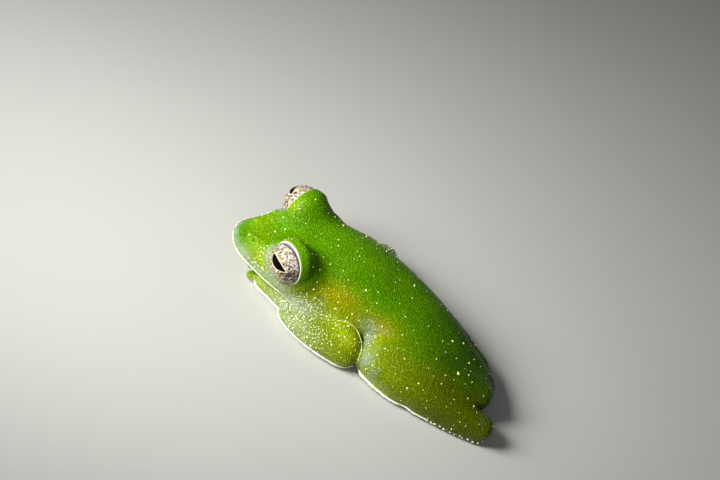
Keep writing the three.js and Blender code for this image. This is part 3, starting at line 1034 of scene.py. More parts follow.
class Surface:
    """A closed mesh whose points are moved together, in millimetres."""

    FLATTEN = 0.3  # how fast a filled place evens out along the surface, as a share of each round's way
    RAISE = 0.5  # and how fast it rises
    LEAST = 0.01  # the weight under which a point isn't filled

    def __init__(self, mesh: bpy.types.Mesh) -> None:
        """Reads the mesh's points and edges.

        Args:
            mesh: The mesh, in millimetres.
        """
        self.mesh = mesh
        flat = np.empty(len(mesh.vertices) * 3)
        mesh.vertices.foreach_get("co", flat)
        self.points = flat.reshape(-1, 3)
        ends = np.empty(len(mesh.edges) * 2, int)
        mesh.edges.foreach_get("vertices", ends)
        self.edges = ends.reshape(-1, 2)
        self.count = len(self.points)

    def smooth(self, weight: np.ndarray | float, rounds: int) -> None:
        """Moves each point towards the middle of its neighbours.

        Args:
            weight: How much each point takes part, from 0 to 1.
            rounds: How many times.
        """
        number = np.bincount(self.edges.ravel(), minlength=self.count)[:, None]
        share = 0.5 * np.broadcast_to(weight, (self.count,))[:, None]
        for _ in range(rounds):
            self.points += share * (neighbour_sums(self.points, self.edges.T, self.count) / number - self.points)

    def fill(self, weight: np.ndarray, rounds: int, refresh: int = 20) -> None:
        """Fills valleys with flesh and leaves ridges as they are.

        Args:
            weight: How much each point takes part, from 0 to 1.
            rounds: How many times.
            refresh: After how many rounds the outward directions are found again.
        """
        near = weight > self.LEAST
        part = near[self.edges].all(axis=1)
        place = np.cumsum(near) - 1
        ends = place[self.edges[part]].T
        size = int(near.sum())
        number = np.maximum(np.bincount(ends.ravel(), minlength=size), 1)[:, None]
        share = weight[near][:, None]
        for i in range(rounds):
            if i % refresh == 0:
                outward = self.normals()[near]
            here = self.points[near]
            move = neighbour_sums(here, ends, size) / number - here
            rise = (move * outward).sum(axis=1, keepdims=True)
            level = move - rise * outward
            self.points[near] = here + share * (self.FLATTEN * level + self.RAISE * np.maximum(rise, 0) * outward)

    def settle(self) -> None:
        """Gives the points back to the mesh."""
        self.mesh.vertices.foreach_set("co", self.points.ravel())
        self.mesh.update()

    def normals(self) -> np.ndarray:
        """The outward direction at each point."""
        self.settle()
        flat = np.empty(self.count * 3)
        self.mesh.vertex_normals.foreach_get("vector", flat)
        return flat.reshape(-1, 3)

    def push(self, amount: np.ndarray) -> None:
        """Moves each point outwards by its own amount."""
        self.points += self.normals() * amount[:, None]

    def tree(self) -> BVHTree:
        """A search tree of the faces as they are now."""
        self.settle()
        faces = [tuple(p.vertices) for p in self.mesh.polygons]
        return BVHTree.FromPolygons([tuple(p) for p in self.points], faces)

    def carry(self, name: str, values: np.ndarray) -> None:
        """Stores a number at each point, for the material."""
        made = self.mesh.attributes.new(name, "FLOAT", "POINT")
        made.data.foreach_set("value", np.asarray(values, np.float32))


def finished(mesh: bpy.types.Mesh, name: str, finish: Finish, slot: str, *nodes: str) -> bpy.types.Object:
    """Makes a piece of a mesh that is still in millimetres.

    Args:
        mesh: The mesh.
        name: The piece's name.
        finish: Its finish.
        slot: Not used.
        *nodes: The solids that it stands for.

    Returns:
        The piece, riding on the body.
    """
    mesh.transform(Matrix.Scale(MM, 4))
    mesh.name = name
    mesh.materials.clear()
    mesh.materials.append(finish.material())
    mesh.shade_smooth()
    piece = placed(name, mesh)
    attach(piece, "root")
    if nodes:
        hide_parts(*nodes)
    log.info("%s: %d faces", name, len(mesh.polygons))
    return piece


@dataclass(frozen=True)
class Patch:
    """A soft-edged patch on the body: a place, how far it reaches along each axis, and how strong it is."""

    place: Row
    reach: Row
    strength: float = 1.0

    def on(self, points: np.ndarray, plan: BodyPlan) -> np.ndarray:
        """How much of the patch each point has."""
        away = (points - plan.at(self.place)) / self.reach
        return self.strength * np.exp(-(away**2).sum(axis=1))


def both(*patches: Patch) -> tuple[Patch, ...]:
    """Each patch, and the same on the right."""
    return tuple(
        Patch((side.value * patch.place[0], *patch.place[1:]), patch.reach, patch.strength)
        for patch in patches
        for side in Side
    )


@dataclass(frozen=True)
class Fold:
    """A ridge or, with a negative height, a groove along a line on the skin."""

    places: Rows
    height: float
    width: float
    both_sides: bool = True

    def on(self, points: np.ndarray, plan: BodyPlan) -> np.ndarray:
        """How far each point is raised."""
        raised = np.zeros(len(points))
        for side in Side if self.both_sides else (Side.LEFT,):
            path = plan.at(self.places) * (side.value, 1, 1)
            near = np.exp(-((distance_to(points, path) / self.width) ** 2))
            raised = np.maximum(raised, near)
        return raised * self.height


@dataclass(frozen=True)
class Skin:
    """The frog's one skin, from the snout to the toes."""

    plan: BodyPlan
    trunk: Trunk = Trunk()
    arm: Arm = Arm()
    legs: tuple[Leg, ...] = (LEFT_LEG, RIGHT_LEG)
    voxel: float = 0.125
    flow: float = 1.5  # how strongly the full patches below are filled and smoothed
    flow_rounds: tuple[int, int] = (260, 25)  # of filling and of smoothing
    rim: float = 86.0  # degrees from the middle of the lids' opening to their edge
    rim_before: float = 3.0  # how far inside that edge the skin starts to sink, and over how far
    rim_over: float = 4.0
    lid_thin: float = 0.2  # how much thinner the lids are at that edge
    lid_over: float = 24.0  # degrees over which they thicken
    lid_back: Span = (112.0, 140.0)  # degrees over which their round shape ends
    lid_near: Span = (0.06, 0.4)  # and how far outside it
    sunk: float = 1.58  # how far from the eye's middle the skin lies behind the eyeball's face
    jaw_inset: float = 0.2
    jaw_end: float = 1.2  # the length over which the inset ends at the corner of the mouth
    jaw_step: Span = (0.08, 0.16)  # above the mouth's line, where the inset starts, and over how far
    jaw_fade: Span = (0.35, 0.5)  # below that line, where it starts to end, and over how far
    line_depth: float = 0.16  # of the groove between the lips
    line_below: float = 0.06
    line_width: float = 0.09
    pit: Row = (0.26, -0.1, 0.2)  # the nostril's opening, from the middle of its bump
    pit_depth: float = 0.22
    pit_width: float = 0.16
    full: tuple[Patch, ...] = (
        Patch((3.9, 16.8, 4.2), (2.2, 3.0, 1.6)),
        Patch((5.6, 19.0, 2.6), (2.4, 4.5, 2.4)),
        Patch((4.9, 23.3, 2.4), (3.0, 4.0, 2.4)),
        Patch((3.2, 26.0, 2.0), (2.4, 1.6, 1.8)),
        *both(
            Patch((4.6, 9.4, 2.4), (1.6, 2.4, 1.2)),
            Patch((5.6, 11.8, 2.0), (1.2, 2.2, 0.9)),
            Patch((4.2, 6.2, 1.2), (0.8, 1.6, 0.6)),
        ),
    )
    head_full: tuple[Patch, ...] = (
        *both(
            Patch((2.1, 3.0, 3.6), (1.6, 2.2, 1.4)),
            Patch((2.6, 6.6, 4.9), (2.4, 2.6, 1.8)),
        ),
        Patch((0.0, 4.8, 5.0), (2.4, 2.6, 1.6)),
        *both(Patch((4.2, 6.2, 3.0), (1.2, 2.4, 0.9))),
    )
    folds: tuple[Fold, ...] = (
        Fold(line_along(RIGHT_LEG.thigh, 0.3, 0.87, -1.0), -0.12, 0.35, False),
        Fold(line_along(RIGHT_LEG.shank, 0.15, 0.9, -1.0), -0.08, 0.3, False),
        Fold(LEFT_LEG.knee_crease(), -0.14, 0.28, False),
        Fold(((6.7, 16.2, 2.1), (5.7, 15.7, 3.1), (5.0, 16.6, 3.6)), 0.12, 0.7, False),
        Fold(((3.6, 7.2, 4.9), (4.35, 8.6, 4.6), (4.85, 10.0, 3.9), (4.9, 11.2, 3.4)), 0.08, 0.35),
    )
    ear: Row = (4.62, 9.0, 3.5)
    ear_radius: float = 0.55
    ear_ring: float = 0.03  # how high its ring and how deep its disc are
    ear_ring_width: float = 0.14
    ear_soft: float = 0.2

    def build(self) -> Surface:
        """Grows the skin and shapes it, still in millimetres."""
        growth = Growth(self.plan)
        self.trunk.grow(growth)
        for side in Side:
            self.arm.grow(growth, side)
        for leg in self.legs:
            leg.grow(growth)
        surface = Surface(growth.skin(self.voxel))
        log.info("skin grown: %d points", surface.count)
        surface.smooth(1.0, rounds=3)
        self._let_flow(surface)
        self._shape_mouth(surface)
        for side in Side:
            self._open_lids(surface, side)
            self._sink_nostril(surface, side)
            self._set_ear(surface, side)
        for fold in self.folds:
            surface.push(fold.on(surface.points, self.plan))
        self._rest_on_floor(surface)
        return surface

    def _let_flow(self, surface: Surface) -> None:
        """Fills the valleys where forms run into one another, and then smooths their joins."""
        own = self.plan.turned(surface.points, -1.0)
        weight = sum(p.on(surface.points, self.plan) for p in self.full) + sum(
            p.on(own, self.plan) for p in self.head_full
        )
        weight = np.clip(self.flow * weight, 0, 1)
        fills, smooths = self.flow_rounds
        surface.fill(weight, fills)
        surface.smooth(weight, smooths)

    def _shape_mouth(self, surface: Surface) -> None:
        """Sets the lower jaw in under the upper lip, with the mouth's line between them."""
        own = self.plan.turned(surface.points, -1.0)
        back, height = own[:, 1] - self.plan.snout_y, own[:, 2]
        reach = 1 - ease((back - self.plan.mouth_corner + self.jaw_end) / self.jaw_end)
        below = self.plan.mouth - height
        (above, step), (under, fade) = self.jaw_step, self.jaw_fade
        inset = self.jaw_inset * ease((below + above) / step) * (1 - ease((below - under) / fade))
        line = self.line_depth * np.exp(-(((below - self.line_below) / self.line_width) ** 2))
        surface.push(-(inset + line) * reach)

    def _open_lids(self, surface: Surface, side: Side) -> None:
        """Rounds the lids over the eyeball and sinks the skin behind its face."""
        centre = self.plan.eye_centre(side)
        axis = self.plan.lids_open(side)
        reach = surface.points - centre
        radius = np.linalg.norm(reach, axis=1)
        angle = np.degrees(np.arccos(np.clip(reach @ axis / np.maximum(radius, 1e-9), -1, 1)))
        lid = self.plan.lid_radius - self.lid_thin * (1 - ease((angle - self.rim) / self.lid_over))
        window = 1 - ease((angle - self.rim + self.rim_before) / self.rim_over)
        near = fall(radius, *(self.plan.lid_radius + out for out in self.lid_near))
        shell = near * fall(angle, *self.lid_back)
        goal = radius + shell * (lid - radius)
        goal += window * near * (self.sunk - goal)
        surface.points[:] = centre + reach * (goal / np.maximum(radius, 1e-9))[:, None]

    def _sink_nostril(self, surface: Surface, side: Side) -> None:
        """Presses the opening into the nostril's bump, on its outer side."""
        left, back, height = (middle + off for middle, off in zip(self.trunk.nostril, self.pit))
        pit = self.plan.turned(self.plan.at(((side.value * left, back, height),)))
        away = np.linalg.norm(surface.points - pit, axis=1)
        surface.push(-self.pit_depth * np.exp(-((away / self.pit_width) ** 2)))

    def _set_ear(self, surface: Surface, side: Side) -> None:
        """Sinks the ear's disc a little inside its raised ring."""
        left, back, height = self.ear
        middle = self.plan.turned(self.plan.at(((side.value * left, back, height),)))
        away = np.linalg.norm(surface.points - middle, axis=1)
        ring = self.ear_ring * np.exp(-(((away - self.ear_radius) / self.ear_ring_width) ** 2))
        surface.push(ring - self.ear_ring * fall(away, self.ear_radius - self.ear_soft, self.ear_radius))

    def _rest_on_floor(self, surface: Surface) -> None:
        """Flattens what would reach under the floor."""
        surface.points[:, 2] = np.maximum(surface.points[:, 2], 0.0)


# What sits on the skin


@dataclass(frozen=True)
class SkinEdge:
    """A thin white edge of skin along a line, snapped to the surface, in millimetres."""

    name: str
    places: Rows
    finish: Finish
    radius: float = 0.1
    taper: Row = (0.25, 1.0, 1.0, 0.25)
    whitens: bool = True  # whether the skin beside it is white too
    lift: float = 0.03
    clear: float = 0.02  # above the floor
    turn: bool = False
    steps: int = 90
    rounds: int = 6  # of smoothing

    def path(self, plan: BodyPlan, tree: BVHTree) -> np.ndarray:
        """The line on the skin.

        Args:
            plan: The body's plan.
            tree: The skin's search tree.

        Returns:
            The line's points.
        """
        guide = curve(plan.at(self.places), np.linspace(0, 1, self.steps))
        if self.turn:
            guide = plan.turned(guide)
        line = np.empty_like(guide)
        for i, point in enumerate(guide):
            place, normal, _, _ = tree.find_nearest(Vector(point))
            line[i] = place + normal * self.lift
        for _ in range(self.rounds):
            line[1:-1] = 0.5 * line[1:-1] + 0.25 * (line[:-2] + line[2:])
        line[:, 2] = np.maximum(line[:, 2], self.radius * max(self.taper) + self.clear)
        return line

    def build(self, line: np.ndarray) -> bpy.types.Object:
        """Makes the edge along its line.

        Args:
            line: The line's points.

        Returns:
            The piece.
        """
        widths = curve(np.array(self.taper)[:, None], np.linspace(0, 1, len(line)))[:, 0]
        shape = bpy.data.curves.new(self.name, "CURVE")
        shape.dimensions = "3D"
        shape.bevel_depth = self.radius
        shape.bevel_resolution = 3
        shape.use_fill_caps = True
        spline = shape.splines.new("POLY")
        spline.points.add(len(line) - 1)
        for point, place, width in zip(spline.points, line, widths):
            point.co = (*place, 1.0)
            point.radius = width
        mesh = set_mesh(placed(self.name, shape))
        bpy.data.curves.remove(shape)
        return finished(mesh, self.name, self.finish, "skin_pale")


@dataclass(frozen=True)
class WartKind:
    """One kind of wart: how large, how far apart and how white they are, and where they lie."""

    tries: int
    radius: Span
    spacing: float
    chance: float  # that a place is taken where no patch lies
    white: Span
    patches: tuple[Patch, ...]


@dataclass(frozen=True)
class Warts:
    """Raised warts: sparse ones all over, fine ones on arms, cheeks and lids, and a row along the left foot. The fine,
    whiter ones are partly real warts and partly painted highlights, dots for the glints on the granules.
    """

    seed: int = 11
    around: int = 8
    rings: int = 5
    lowest: float = 0.25  # above the floor
    overhang: float = -0.3  # how far down the skin may face where warts grow, as the Z of its direction
    flat: float = 0.75  # a wart's height as a share of its radius
    eye_out: float = 0.3  # how far outside the lids' ball, and ahead of its middle, no warts grow
    eye_ahead: float = -0.25
    kinds: tuple[WartKind, ...] = (
        WartKind(
            9000,
            (0.045, 0.11),
            0.5,
            0.075,
            (0.0, 0.35),
            (
                Patch((5.0, 9.2, 3.4), (1.2, 2.0, 1.2), 0.5),
                Patch((5.6, 13.4, 3.0), (1.6, 2.0, 1.6), 0.2),
                Patch((6.2, 11.0, 2.0), (1.2, 3.0, 1.2), 0.2),
            ),
        ),
        # fine white warts, partly real and partly painted highlights: dots for the glints on the granules
        WartKind(
            30000,
            (0.04, 0.085),
            0.23,
            0.0,
            (0.4, 1.0),
            (
                Patch((6.6, 9.6, 1.7), (1.1, 2.3, 0.9), 0.9),
                Patch((4.9, 8.0, 2.8), (0.8, 1.6, 0.7), 0.8),
                Patch((3.4, 2.1, 2.7), (0.5, 0.8, 0.5), 0.9),
                Patch((2.3, 2.2, 3.4), (0.4, 0.5, 0.4), 0.9),
                Patch((2.1, 3.4, 5.7), (0.6, 0.5, 0.7), 0.9),
                Patch((5.2, 6.6, 1.2), (0.8, 1.6, 0.6), 0.6),
                Patch((5.9, 12.8, 3.0), (1.0, 1.6, 0.6), 0.2),
            ),
        ),
        # the finest and whitest, partly real warts and partly painted highlights for the glints on the granules
        WartKind(
            20000,
            (0.03, 0.06),
            0.16,
            0.0,
            (0.7, 1.0),
            (
                Patch((7.0, 9.7, 1.9), (0.7, 1.5, 0.7), 0.8),
                Patch((6.3, 7.6, 1.5), (0.7, 1.2, 0.6), 0.7),
                Patch((5.0, 7.6, 2.5), (0.7, 1.5, 0.6), 0.7),
                Patch((5.0, 6.2, 1.2), (0.6, 0.9, 0.5), 0.5),
                Patch((6.7, 15.3, 2.2), (0.5, 0.5, 0.9), 0.4),
                Patch((5.0, 14.2, 3.0), (0.6, 0.5, 0.6), 0.4),
            ),
        ),
    )
    foot_count: int = 13
    foot_radius: float = 0.1
    stray: float = 0.12  # how far a wart of the row or a fleck may lie off its place
    size_share: Span = (0.7, 0.5)  # the least share of the radius that it gets, and how much chance adds
    row_white: float = 0.6
    fleck: Row = (3.85, 22.5, 4.0)
    fleck_count: int = 3
    fleck_radius: float = 0.13

    def build(self, surface: Surface, plan: BodyPlan, tree: BVHTree, finish: Finish) -> bpy.types.Object:
        """Sets the warts on the skin.

        Args:
            surface: The finished skin, in millimetres.
            plan: The body's plan.
            tree: The skin's search tree.
            finish: The warts' finish.

        Returns:
            The piece.
        """
        random = np.random.default_rng(self.seed)
        chosen = [wart for kind in self.kinds for wart in self._scatter(kind, surface, plan, random)]
        row = curve(plan.at(LEFT_LEG.heel_row()), np.linspace(0, 1, self.foot_count))
        flecks = plan.at((self.fleck,) * self.fleck_count)
        least, more = self.size_share
        for places, radius in ((row, self.foot_radius), (flecks, self.fleck_radius)):
            for place in places + random.uniform(-self.stray, self.stray, places.shape):
                point, normal, _, _ = tree.find_nearest(Vector(place))
                size = radius * (least + more * random.random())
                chosen.append((np.array(point), np.array(normal), size, self.row_white))
        log.info("warts: %d", len(chosen))
        return finished(self._domes(chosen), "warts", finish, "skin_pale")

    def _scatter(
        self, kind: WartKind, surface: Surface, plan: BodyPlan, random: np.random.Generator
    ) -> list[tuple[np.ndarray, np.ndarray, float, float]]:
        """Chooses the places of one kind of wart.

        Args:
            kind: The kind.
            surface: The finished skin, in millimetres.
            plan: The body's plan.
            random: Where the draws come from.

        Returns:
            For each wart its place, outward direction, radius and whiteness.
        """
        picks = random.integers(0, surface.count, kind.tries)
        draws = random.random((kind.tries, 3))
        points, normals = surface.points[picks], surface.normals()[picks]
        own = plan.turned(points, -1.0)
        own[:, 0] = np.abs(own[:, 0])
        crowd = kind.chance + sum(p.on(own, plan) for p in kind.patches)
        open_skin = (points[:, 2] > self.lowest) & (normals[:, 2] > self.overhang) & ~self._in_eye(points, plan)
        chosen = []
        kept = np.empty((0, 3))
        for i in np.flatnonzero(open_skin & (draws[:, 0] < crowd)):
            if len(kept) and np.min(np.linalg.norm(kept - points[i], axis=1)) < kind.spacing:
                continue
            kept = np.vstack([kept, points[i]])
            low, high = kind.radius
            white = kind.white[0] + (kind.white[1] - kind.white[0]) * draws[i, 2]
            chosen.append((points[i], normals[i], low + (high - low) * draws[i, 1] ** 2, white))
        return chosen

    def _domes(self, chosen: list[tuple[np.ndarray, np.ndarray, float, float]]) -> bpy.types.Mesh:
        """Makes a dome at each place, marked with its whiteness."""
        bm = bmesh.new()
        bmesh.ops.create_uvsphere(bm, u_segments=self.around, v_segments=self.rings, radius=1.0)
        dome = mesh_of(bm, "dome")
        bm = bmesh.new()
        layer = bm.verts.layers.float.new("white")
        for _ in chosen:
            bm.from_mesh(dome)
        verts = iter(bm.verts)
        for point, normal, radius, white in chosen:
            turn = Vector(normal).to_track_quat("Z", "Y").to_matrix().to_4x4()
            squash = Matrix.Diagonal((radius, radius, self.flat * radius, 1.0))
            place = Matrix.Translation(point) @ turn @ squash
            for _ in dome.vertices:
                vert = next(verts)
                vert.co = place @ vert.co
                vert[layer] = white
        return mesh_of(bm, "warts")

    def _in_eye(self, points: np.ndarray, plan: BodyPlan) -> np.ndarray:
        """Whether each point lies in the opening of an eye."""
        inside = np.zeros(len(points), bool)
        for side in Side:
            reach = points - plan.eye_centre(side)
            near = np.linalg.norm(reach, axis=1) < plan.lid_radius + self.eye_out
            inside |= near & (reach @ plan.lids_open(side) > self.eye_ahead)
        return inside


@dataclass(frozen=True)
class Eye:
    """One eye: the ball with its iris, and the lid margin round it."""

    side: Side
    plan: BodyPlan
    around: int = 96
    rings: int = 72
    cornea_rise: float = 0.06
    cornea_angle: float = 52.0  # degrees from the iris's middle to where its rise ends
    slit_above: float = 0.57  # of the slit's middle, above the iris's
    slit_half: float = 0.98
    slit_up: float = 0.26
    slit_down: float = 0.33
    slit_front: Span = (0.6, 2.6)  # the exponents that shape its blunt front end
    slit_rear: Span = (1.05, 1.9)  # and its pointed rear end
    margin_place: float = 0.12  # of the margin's plane, ahead of the eye's middle
    margin_radius: float = 1.79
    margin_thin: float = 0.09
    margin_thick: float = 0.12
    gold: tuple[Row, ...] = ((0.55, 0.05, 0.6, 0.5, 0.5), (-0.65, -0.35, 0.5, 0.45, 0.4))
    brown: tuple[Row, ...] = ((1.3, 0.3, 0.35, 0.45, 0.7), (-1.2, 0.5, 0.25, 0.3, 0.4), (0.0, 0.2, 1.2, 0.5, 0.12))

    def frame(self, way: np.ndarray) -> Matrix:
        """A frame at the eye's middle: X level, Y up and Z the given way."""
        look = Vector(way)
        level = Vector((0, 0, 1)).cross(look).normalized()
        up = look.cross(level)
        turn = Matrix((level, up, look)).transposed().to_4x4()
        return Matrix.Translation(self.plan.eye_centre(self.side)) @ turn

    def ball(self, finish: Finish) -> bpy.types.Object:
        """Builds the eyeball, with marks that tell the iris where its slit and edge are."""
        bm = bmesh.new()
        bmesh.ops.create_uvsphere(bm, u_segments=self.around, v_segments=self.rings, radius=self.plan.eye_radius)
        polar_layer = bm.verts.layers.float.new("polar")
        slit_layer = bm.verts.layers.float.new("slit_mm")
        clouds = [(bm.verts.layers.float.new(name), getattr(self, name)) for name in ("gold", "brown")]
        for vert in bm.verts:
            polar = math.degrees(vert.co.angle(Vector((0, 0, 1)), 0.0))
            vert[polar_layer] = polar
            vert[slit_layer] = self._from_slit(vert.co)
            for layer, spots in clouds:
                vert[layer] = self._cloud(vert.co, spots)
            bulge = max(0.0, 1 - (polar / self.cornea_angle) ** 2) ** 2
            vert.co *= 1 + self.cornea_rise * bulge / self.plan.eye_radius
        bmesh.ops.transform(bm, matrix=self.frame(self.plan.looks(self.side)), verts=bm.verts)
        name = f"eyeball_{self.side.word}"
        return finished(mesh_of(bm, name), name, finish, "eye", f"eye_{self.side.word}")

    def _from_slit(self, place: Vector) -> float:
        """How far a place on the eyeball is from the pupil's edge, less than nothing inside it."""
        if place.z < 0:
            return self.plan.eye_radius
        x = abs(place.x)
        y = place.y - self.slit_above
        if x >= self.slit_half:
            return math.hypot(x - self.slit_half, y)
        blunt, full = self.slit_rear if self.side.value * place.x > 0 else self.slit_front
        half = (self.slit_up if y > 0 else self.slit_down) * (1 - (x / self.slit_half) ** full) ** blunt
        return abs(y) - half

    def _cloud(self, place: Vector, spots: tuple[Row, ...]) -> float:
        """How thick a colour gathers at a place.

        Args:
            place: A place on the eyeball, in the eye's own frame.
            spots: For each gathering, how far behind and above the iris's middle it is, how far it reaches along
                and across the slit, and how strong it is.

        Returns:
            The colour's strength.
        """
        if place.z < 0:
            return 0.0
        behind = self.side.value * place.x
        return sum(
            strength * math.exp(-(((behind - back) / along) ** 2) - ((place.y - above) / across) ** 2)
            for back, above, along, across, strength in spots
        )

    def margin(self, finish: Finish) -> bpy.types.Object:
        """Builds the lid margin, thicker above and behind."""
        bm = bmesh.new()
        outward = bm.verts.layers.float.new("outward")
        ring = bmesh.ops.create_circle(
            bm, segments=16, radius=1.0, matrix=Matrix.Rotation(math.radians(90), 4, "X")
        )["verts"]
        far = 100.0  # so large that each point's place round the tube can be read back after the spin
        bmesh.ops.translate(bm, verts=ring, vec=(far, 0, 0))
        bmesh.ops.spin(
            bm,
            geom=[*bm.verts, *bm.edges],
            cent=(0, 0, 0),
            axis=(0, 0, 1),
            dvec=(0, 0, 0),
            angle=math.tau,
            steps=96,
            use_merge=True,
        )
        for vert in bm.verts:
            angle = math.atan2(vert.co.y, vert.co.x)
            rim = Vector((math.cos(angle), math.sin(angle), 0))
            off = Vector((*vert.co.xy, 0)).length - far
            vert[outward] = max(0.0, off) ** 2
            rear = 0.5 - 0.5 * math.cos(angle) * self.side.value
            thick = self.margin_thin + (self.margin_thick - self.margin_thin) * rear
            vert.co = rim * (self.margin_radius + off * thick) + Vector((0, 0, vert.co.z * thick + self.margin_place))
        bmesh.ops.transform(bm, matrix=self.frame(self.plan.lids_open(self.side)), verts=bm.verts)
        name = f"lid_margin_{self.side.word}"
        return finished(mesh_of(bm, name), name, finish, "skin_pale")


# Colours on the skin


@dataclass(frozen=True)
class Markings:
    """Where the skin's colours lie, as patches mirrored to both sides, with painted shade on the hind body and on the
    right elbow.
    """

    yellow: tuple[Patch, ...] = (
        Patch((4.2, 9.2, 4.3), (1.5, 1.7, 0.9), 0.6),
        Patch((4.0, 11.0, 4.4), (1.2, 1.8, 1.0), 0.6),
        Patch((4.0, 14.8, 4.0), (1.2, 1.8, 0.9), 0.8),
        Patch((6.0, 13.0, 2.4), (1.2, 1.8, 1.4), 0.6),
        Patch((3.4, 25.2, 2.4), (2.0, 1.6, 1.4), 0.3),
        Patch((3.2, 3.6, 0.4), (0.6, 0.6, 0.5), 0.7),
    )
    lime: tuple[Patch, ...] = (
        Patch((3.2, 2.9, 3.1), (0.8, 1.1, 0.5), 0.75),
        Patch((1.2, 2.0, 3.4), (1.5, 1.3, 0.6), 0.4),
        Patch((2.1, 3.4, 5.6), (0.9, 0.8, 0.9), 0.5),
        Patch((5.9, 12.6, 2.6), (1.1, 1.8, 1.0), 0.7),
        Patch((3.2, 3.8, 0.5), (0.5, 0.7, 0.5), 0.6),
    )
    pale: tuple[Patch, ...] = (
        Patch((2.6, 1.1, 2.3), (1.0, 0.7, 0.4), 0.5),
        Patch((0.0, 2.5, 1.1), (3.6, 4.5, 0.55), 0.9),
        Patch((4.4, 5.8, 1.0), (0.9, 1.8, 0.8), 0.85),
        Patch((4.0, 4.4, 2.3), (0.9, 1.6, 0.6), 0.8),
        Patch((4.9, 6.6, 2.3), (0.8, 1.6, 0.7), 0.9),
        Patch((5.2, 8.4, 2.3), (0.9, 1.4, 0.8), 0.8),
        Patch((6.5, 8.8, 1.3), (1.1, 2.0, 0.8), 0.8),
        Patch((7.0, 11.0, 1.1), (0.7, 2.0, 0.6), 0.5),
        Patch((6.9, 17.0, 1.0), (0.8, 2.0, 0.5), 0.6),
        Patch((6.5, 20.6, 1.0), (0.8, 1.1, 0.6), 0.8),
    )
    bluish: tuple[Patch, ...] = (
        Patch((4.4, 13.7, 3.5), (0.5, 0.8, 0.7), 0.6),
        Patch((4.2, 15.4, 3.8), (0.3, 0.8, 0.3), 0.5),
        Patch((5.1, 14.3, 2.9), (0.9, 0.4, 0.7), 0.8),
        Patch((6.0, 14.9, 1.7), (0.8, 0.45, 0.9), 0.8),
        Patch((6.65, 15.1, 2.3), (0.5, 0.4, 0.7), 0.7),
        Patch((7.1, 16.1, 1.8), (0.4, 0.45, 0.6), 0.6),
        Patch((5.0, 6.5, 1.2), (0.7, 1.2, 0.6), 0.6),
        Patch((6.2, 8.0, 1.2), (0.7, 1.6, 0.5), 0.5),
        Patch((5.1, 7.4, 2.4), (0.7, 1.2, 0.4), 0.2),
        Patch((5.7, 26.4, 2.5), (0.3, 0.35, 0.7), 0.5),
    )
    far: tuple[Patch, ...] = (Patch((-5.9, 12.8, 3.0), (1.2, 2.2, 0.9), 0.75),)  # painted shade: the right elbow, made bluish-grey as it lies in half-shade on the far side
    limb_out: Span = (2.6, 1.6)  # how far from the spine the limbs' colour starts, and over how far
    limb_height: Span = (3.4, 5.0)  # the heights over which it ends
    orbit: float = 1.0  # how pale the skin is below and ahead of an eye
    orbit_way: Row = (0.3, -0.55, -0.78)  # where it is palest, from the eye's middle
    orbit_from: float = 0.1  # how much a place has to lie that way, and over how much more it turns pale
    orbit_over: float = 0.5
    orbit_width: float = 0.4
    orbit_bluish: float = 0.6
    band: Span = (0.3, 0.75)  # how far the bluish band above the lip reaches
    band_strength: float = 0.65
    band_over: float = 0.2  # the height over which it starts
    shade_from: float = 14.0  # behind the snout's tip, where the painted shade over the hind body starts
    shade_length: float = 10.0
    belly_height: Span = (0.25, 0.9)  # the heights over which the belly's colour ends
    belly_facing: Span = (0.3, 0.7)  # the Z of the skin's direction where it starts, and over how much more
    ear: float = 0.3
    ear_edge: Span = (-0.15, 0.1)  # from the ear's radius
    far_edge: float = 3.0  # millimetres, past which the distance to a white edge doesn't matter

    def mark(self, surface: Surface, skin: Skin, lines: list[np.ndarray], lips: list[np.ndarray]) -> None:
        """Stores the colours' places on the skin.

        Args:
            surface: The finished skin, in millimetres.
            skin: The skin's sizes.
            lines: The lines of the white edges that whiten the skin beside them.
            lips: The lines of the lips.
        """
        plan, points = skin.plan, surface.points
        own = plan.turned(points, -1.0)
        mirrored = np.abs(own[:, :1]) * (1, 0, 0) + own * (0, 1, 1)
        normals = surface.normals()
        height = points[:, 2]
        away = np.abs(points[:, 0] - np.array([plan.spine(y - plan.snout_y) for y in points[:, 1]]))
        start, over = self.limb_out
        surface.carry("limb", ease((away - start) / over) * fall(height, *self.limb_height))
        # Painted shade: the hind body darkens towards the rear, where less light falls.
        surface.carry("deep", ease((points[:, 1] - plan.snout_y - self.shade_from) / self.shade_length))
        for name in ("yellow", "lime"):
            surface.carry(name, np.clip(sum(p.on(mirrored, plan) for p in getattr(self, name)), 0, 1))
        reach = mirrored - plan.at(plan.eye)
        from_eye = np.linalg.norm(reach, axis=1)
        under = ease((reach @ unit(np.array(self.orbit_way)) / from_eye - self.orbit_from) / self.orbit_over)
        orbit = self.orbit * under * fall(from_eye, plan.lid_radius, plan.lid_radius + self.orbit_width)
        pale = sum(p.on(mirrored, plan) for p in self.pale)
        surface.carry("pale", np.clip(np.maximum(pale, orbit), 0, 1))
        lip = np.min([distance_to(points, line) for line in lips], axis=0)
        band = self.band_strength * fall(lip, *self.band) * ease((height - plan.mouth) / self.band_over)
        # The right elbow's bluish-grey is painted shade.
        patches = sum(p.on(mirrored, plan) for p in self.bluish) + sum(p.on(own, plan) for p in self.far)
        bluish = np.maximum(np.maximum(band, patches), self.orbit_bluish * orbit)
        surface.carry("bluish", np.clip(bluish, 0, 1))
        facing, turn = self.belly_facing
        surface.carry("belly", fall(height, *self.belly_height) * ease((facing - normals[:, 2]) / turn))
        disc = np.linalg.norm(mirrored - plan.at(skin.ear), axis=1)
        surface.carry("ear", self.ear * fall(disc, *(skin.ear_radius + past for past in self.ear_edge)))
        edge = np.min([distance_to(points, line) for line in lines], axis=0)
        surface.carry("edge_mm", np.minimum(edge, self.far_edge))


# Light, floor and camera


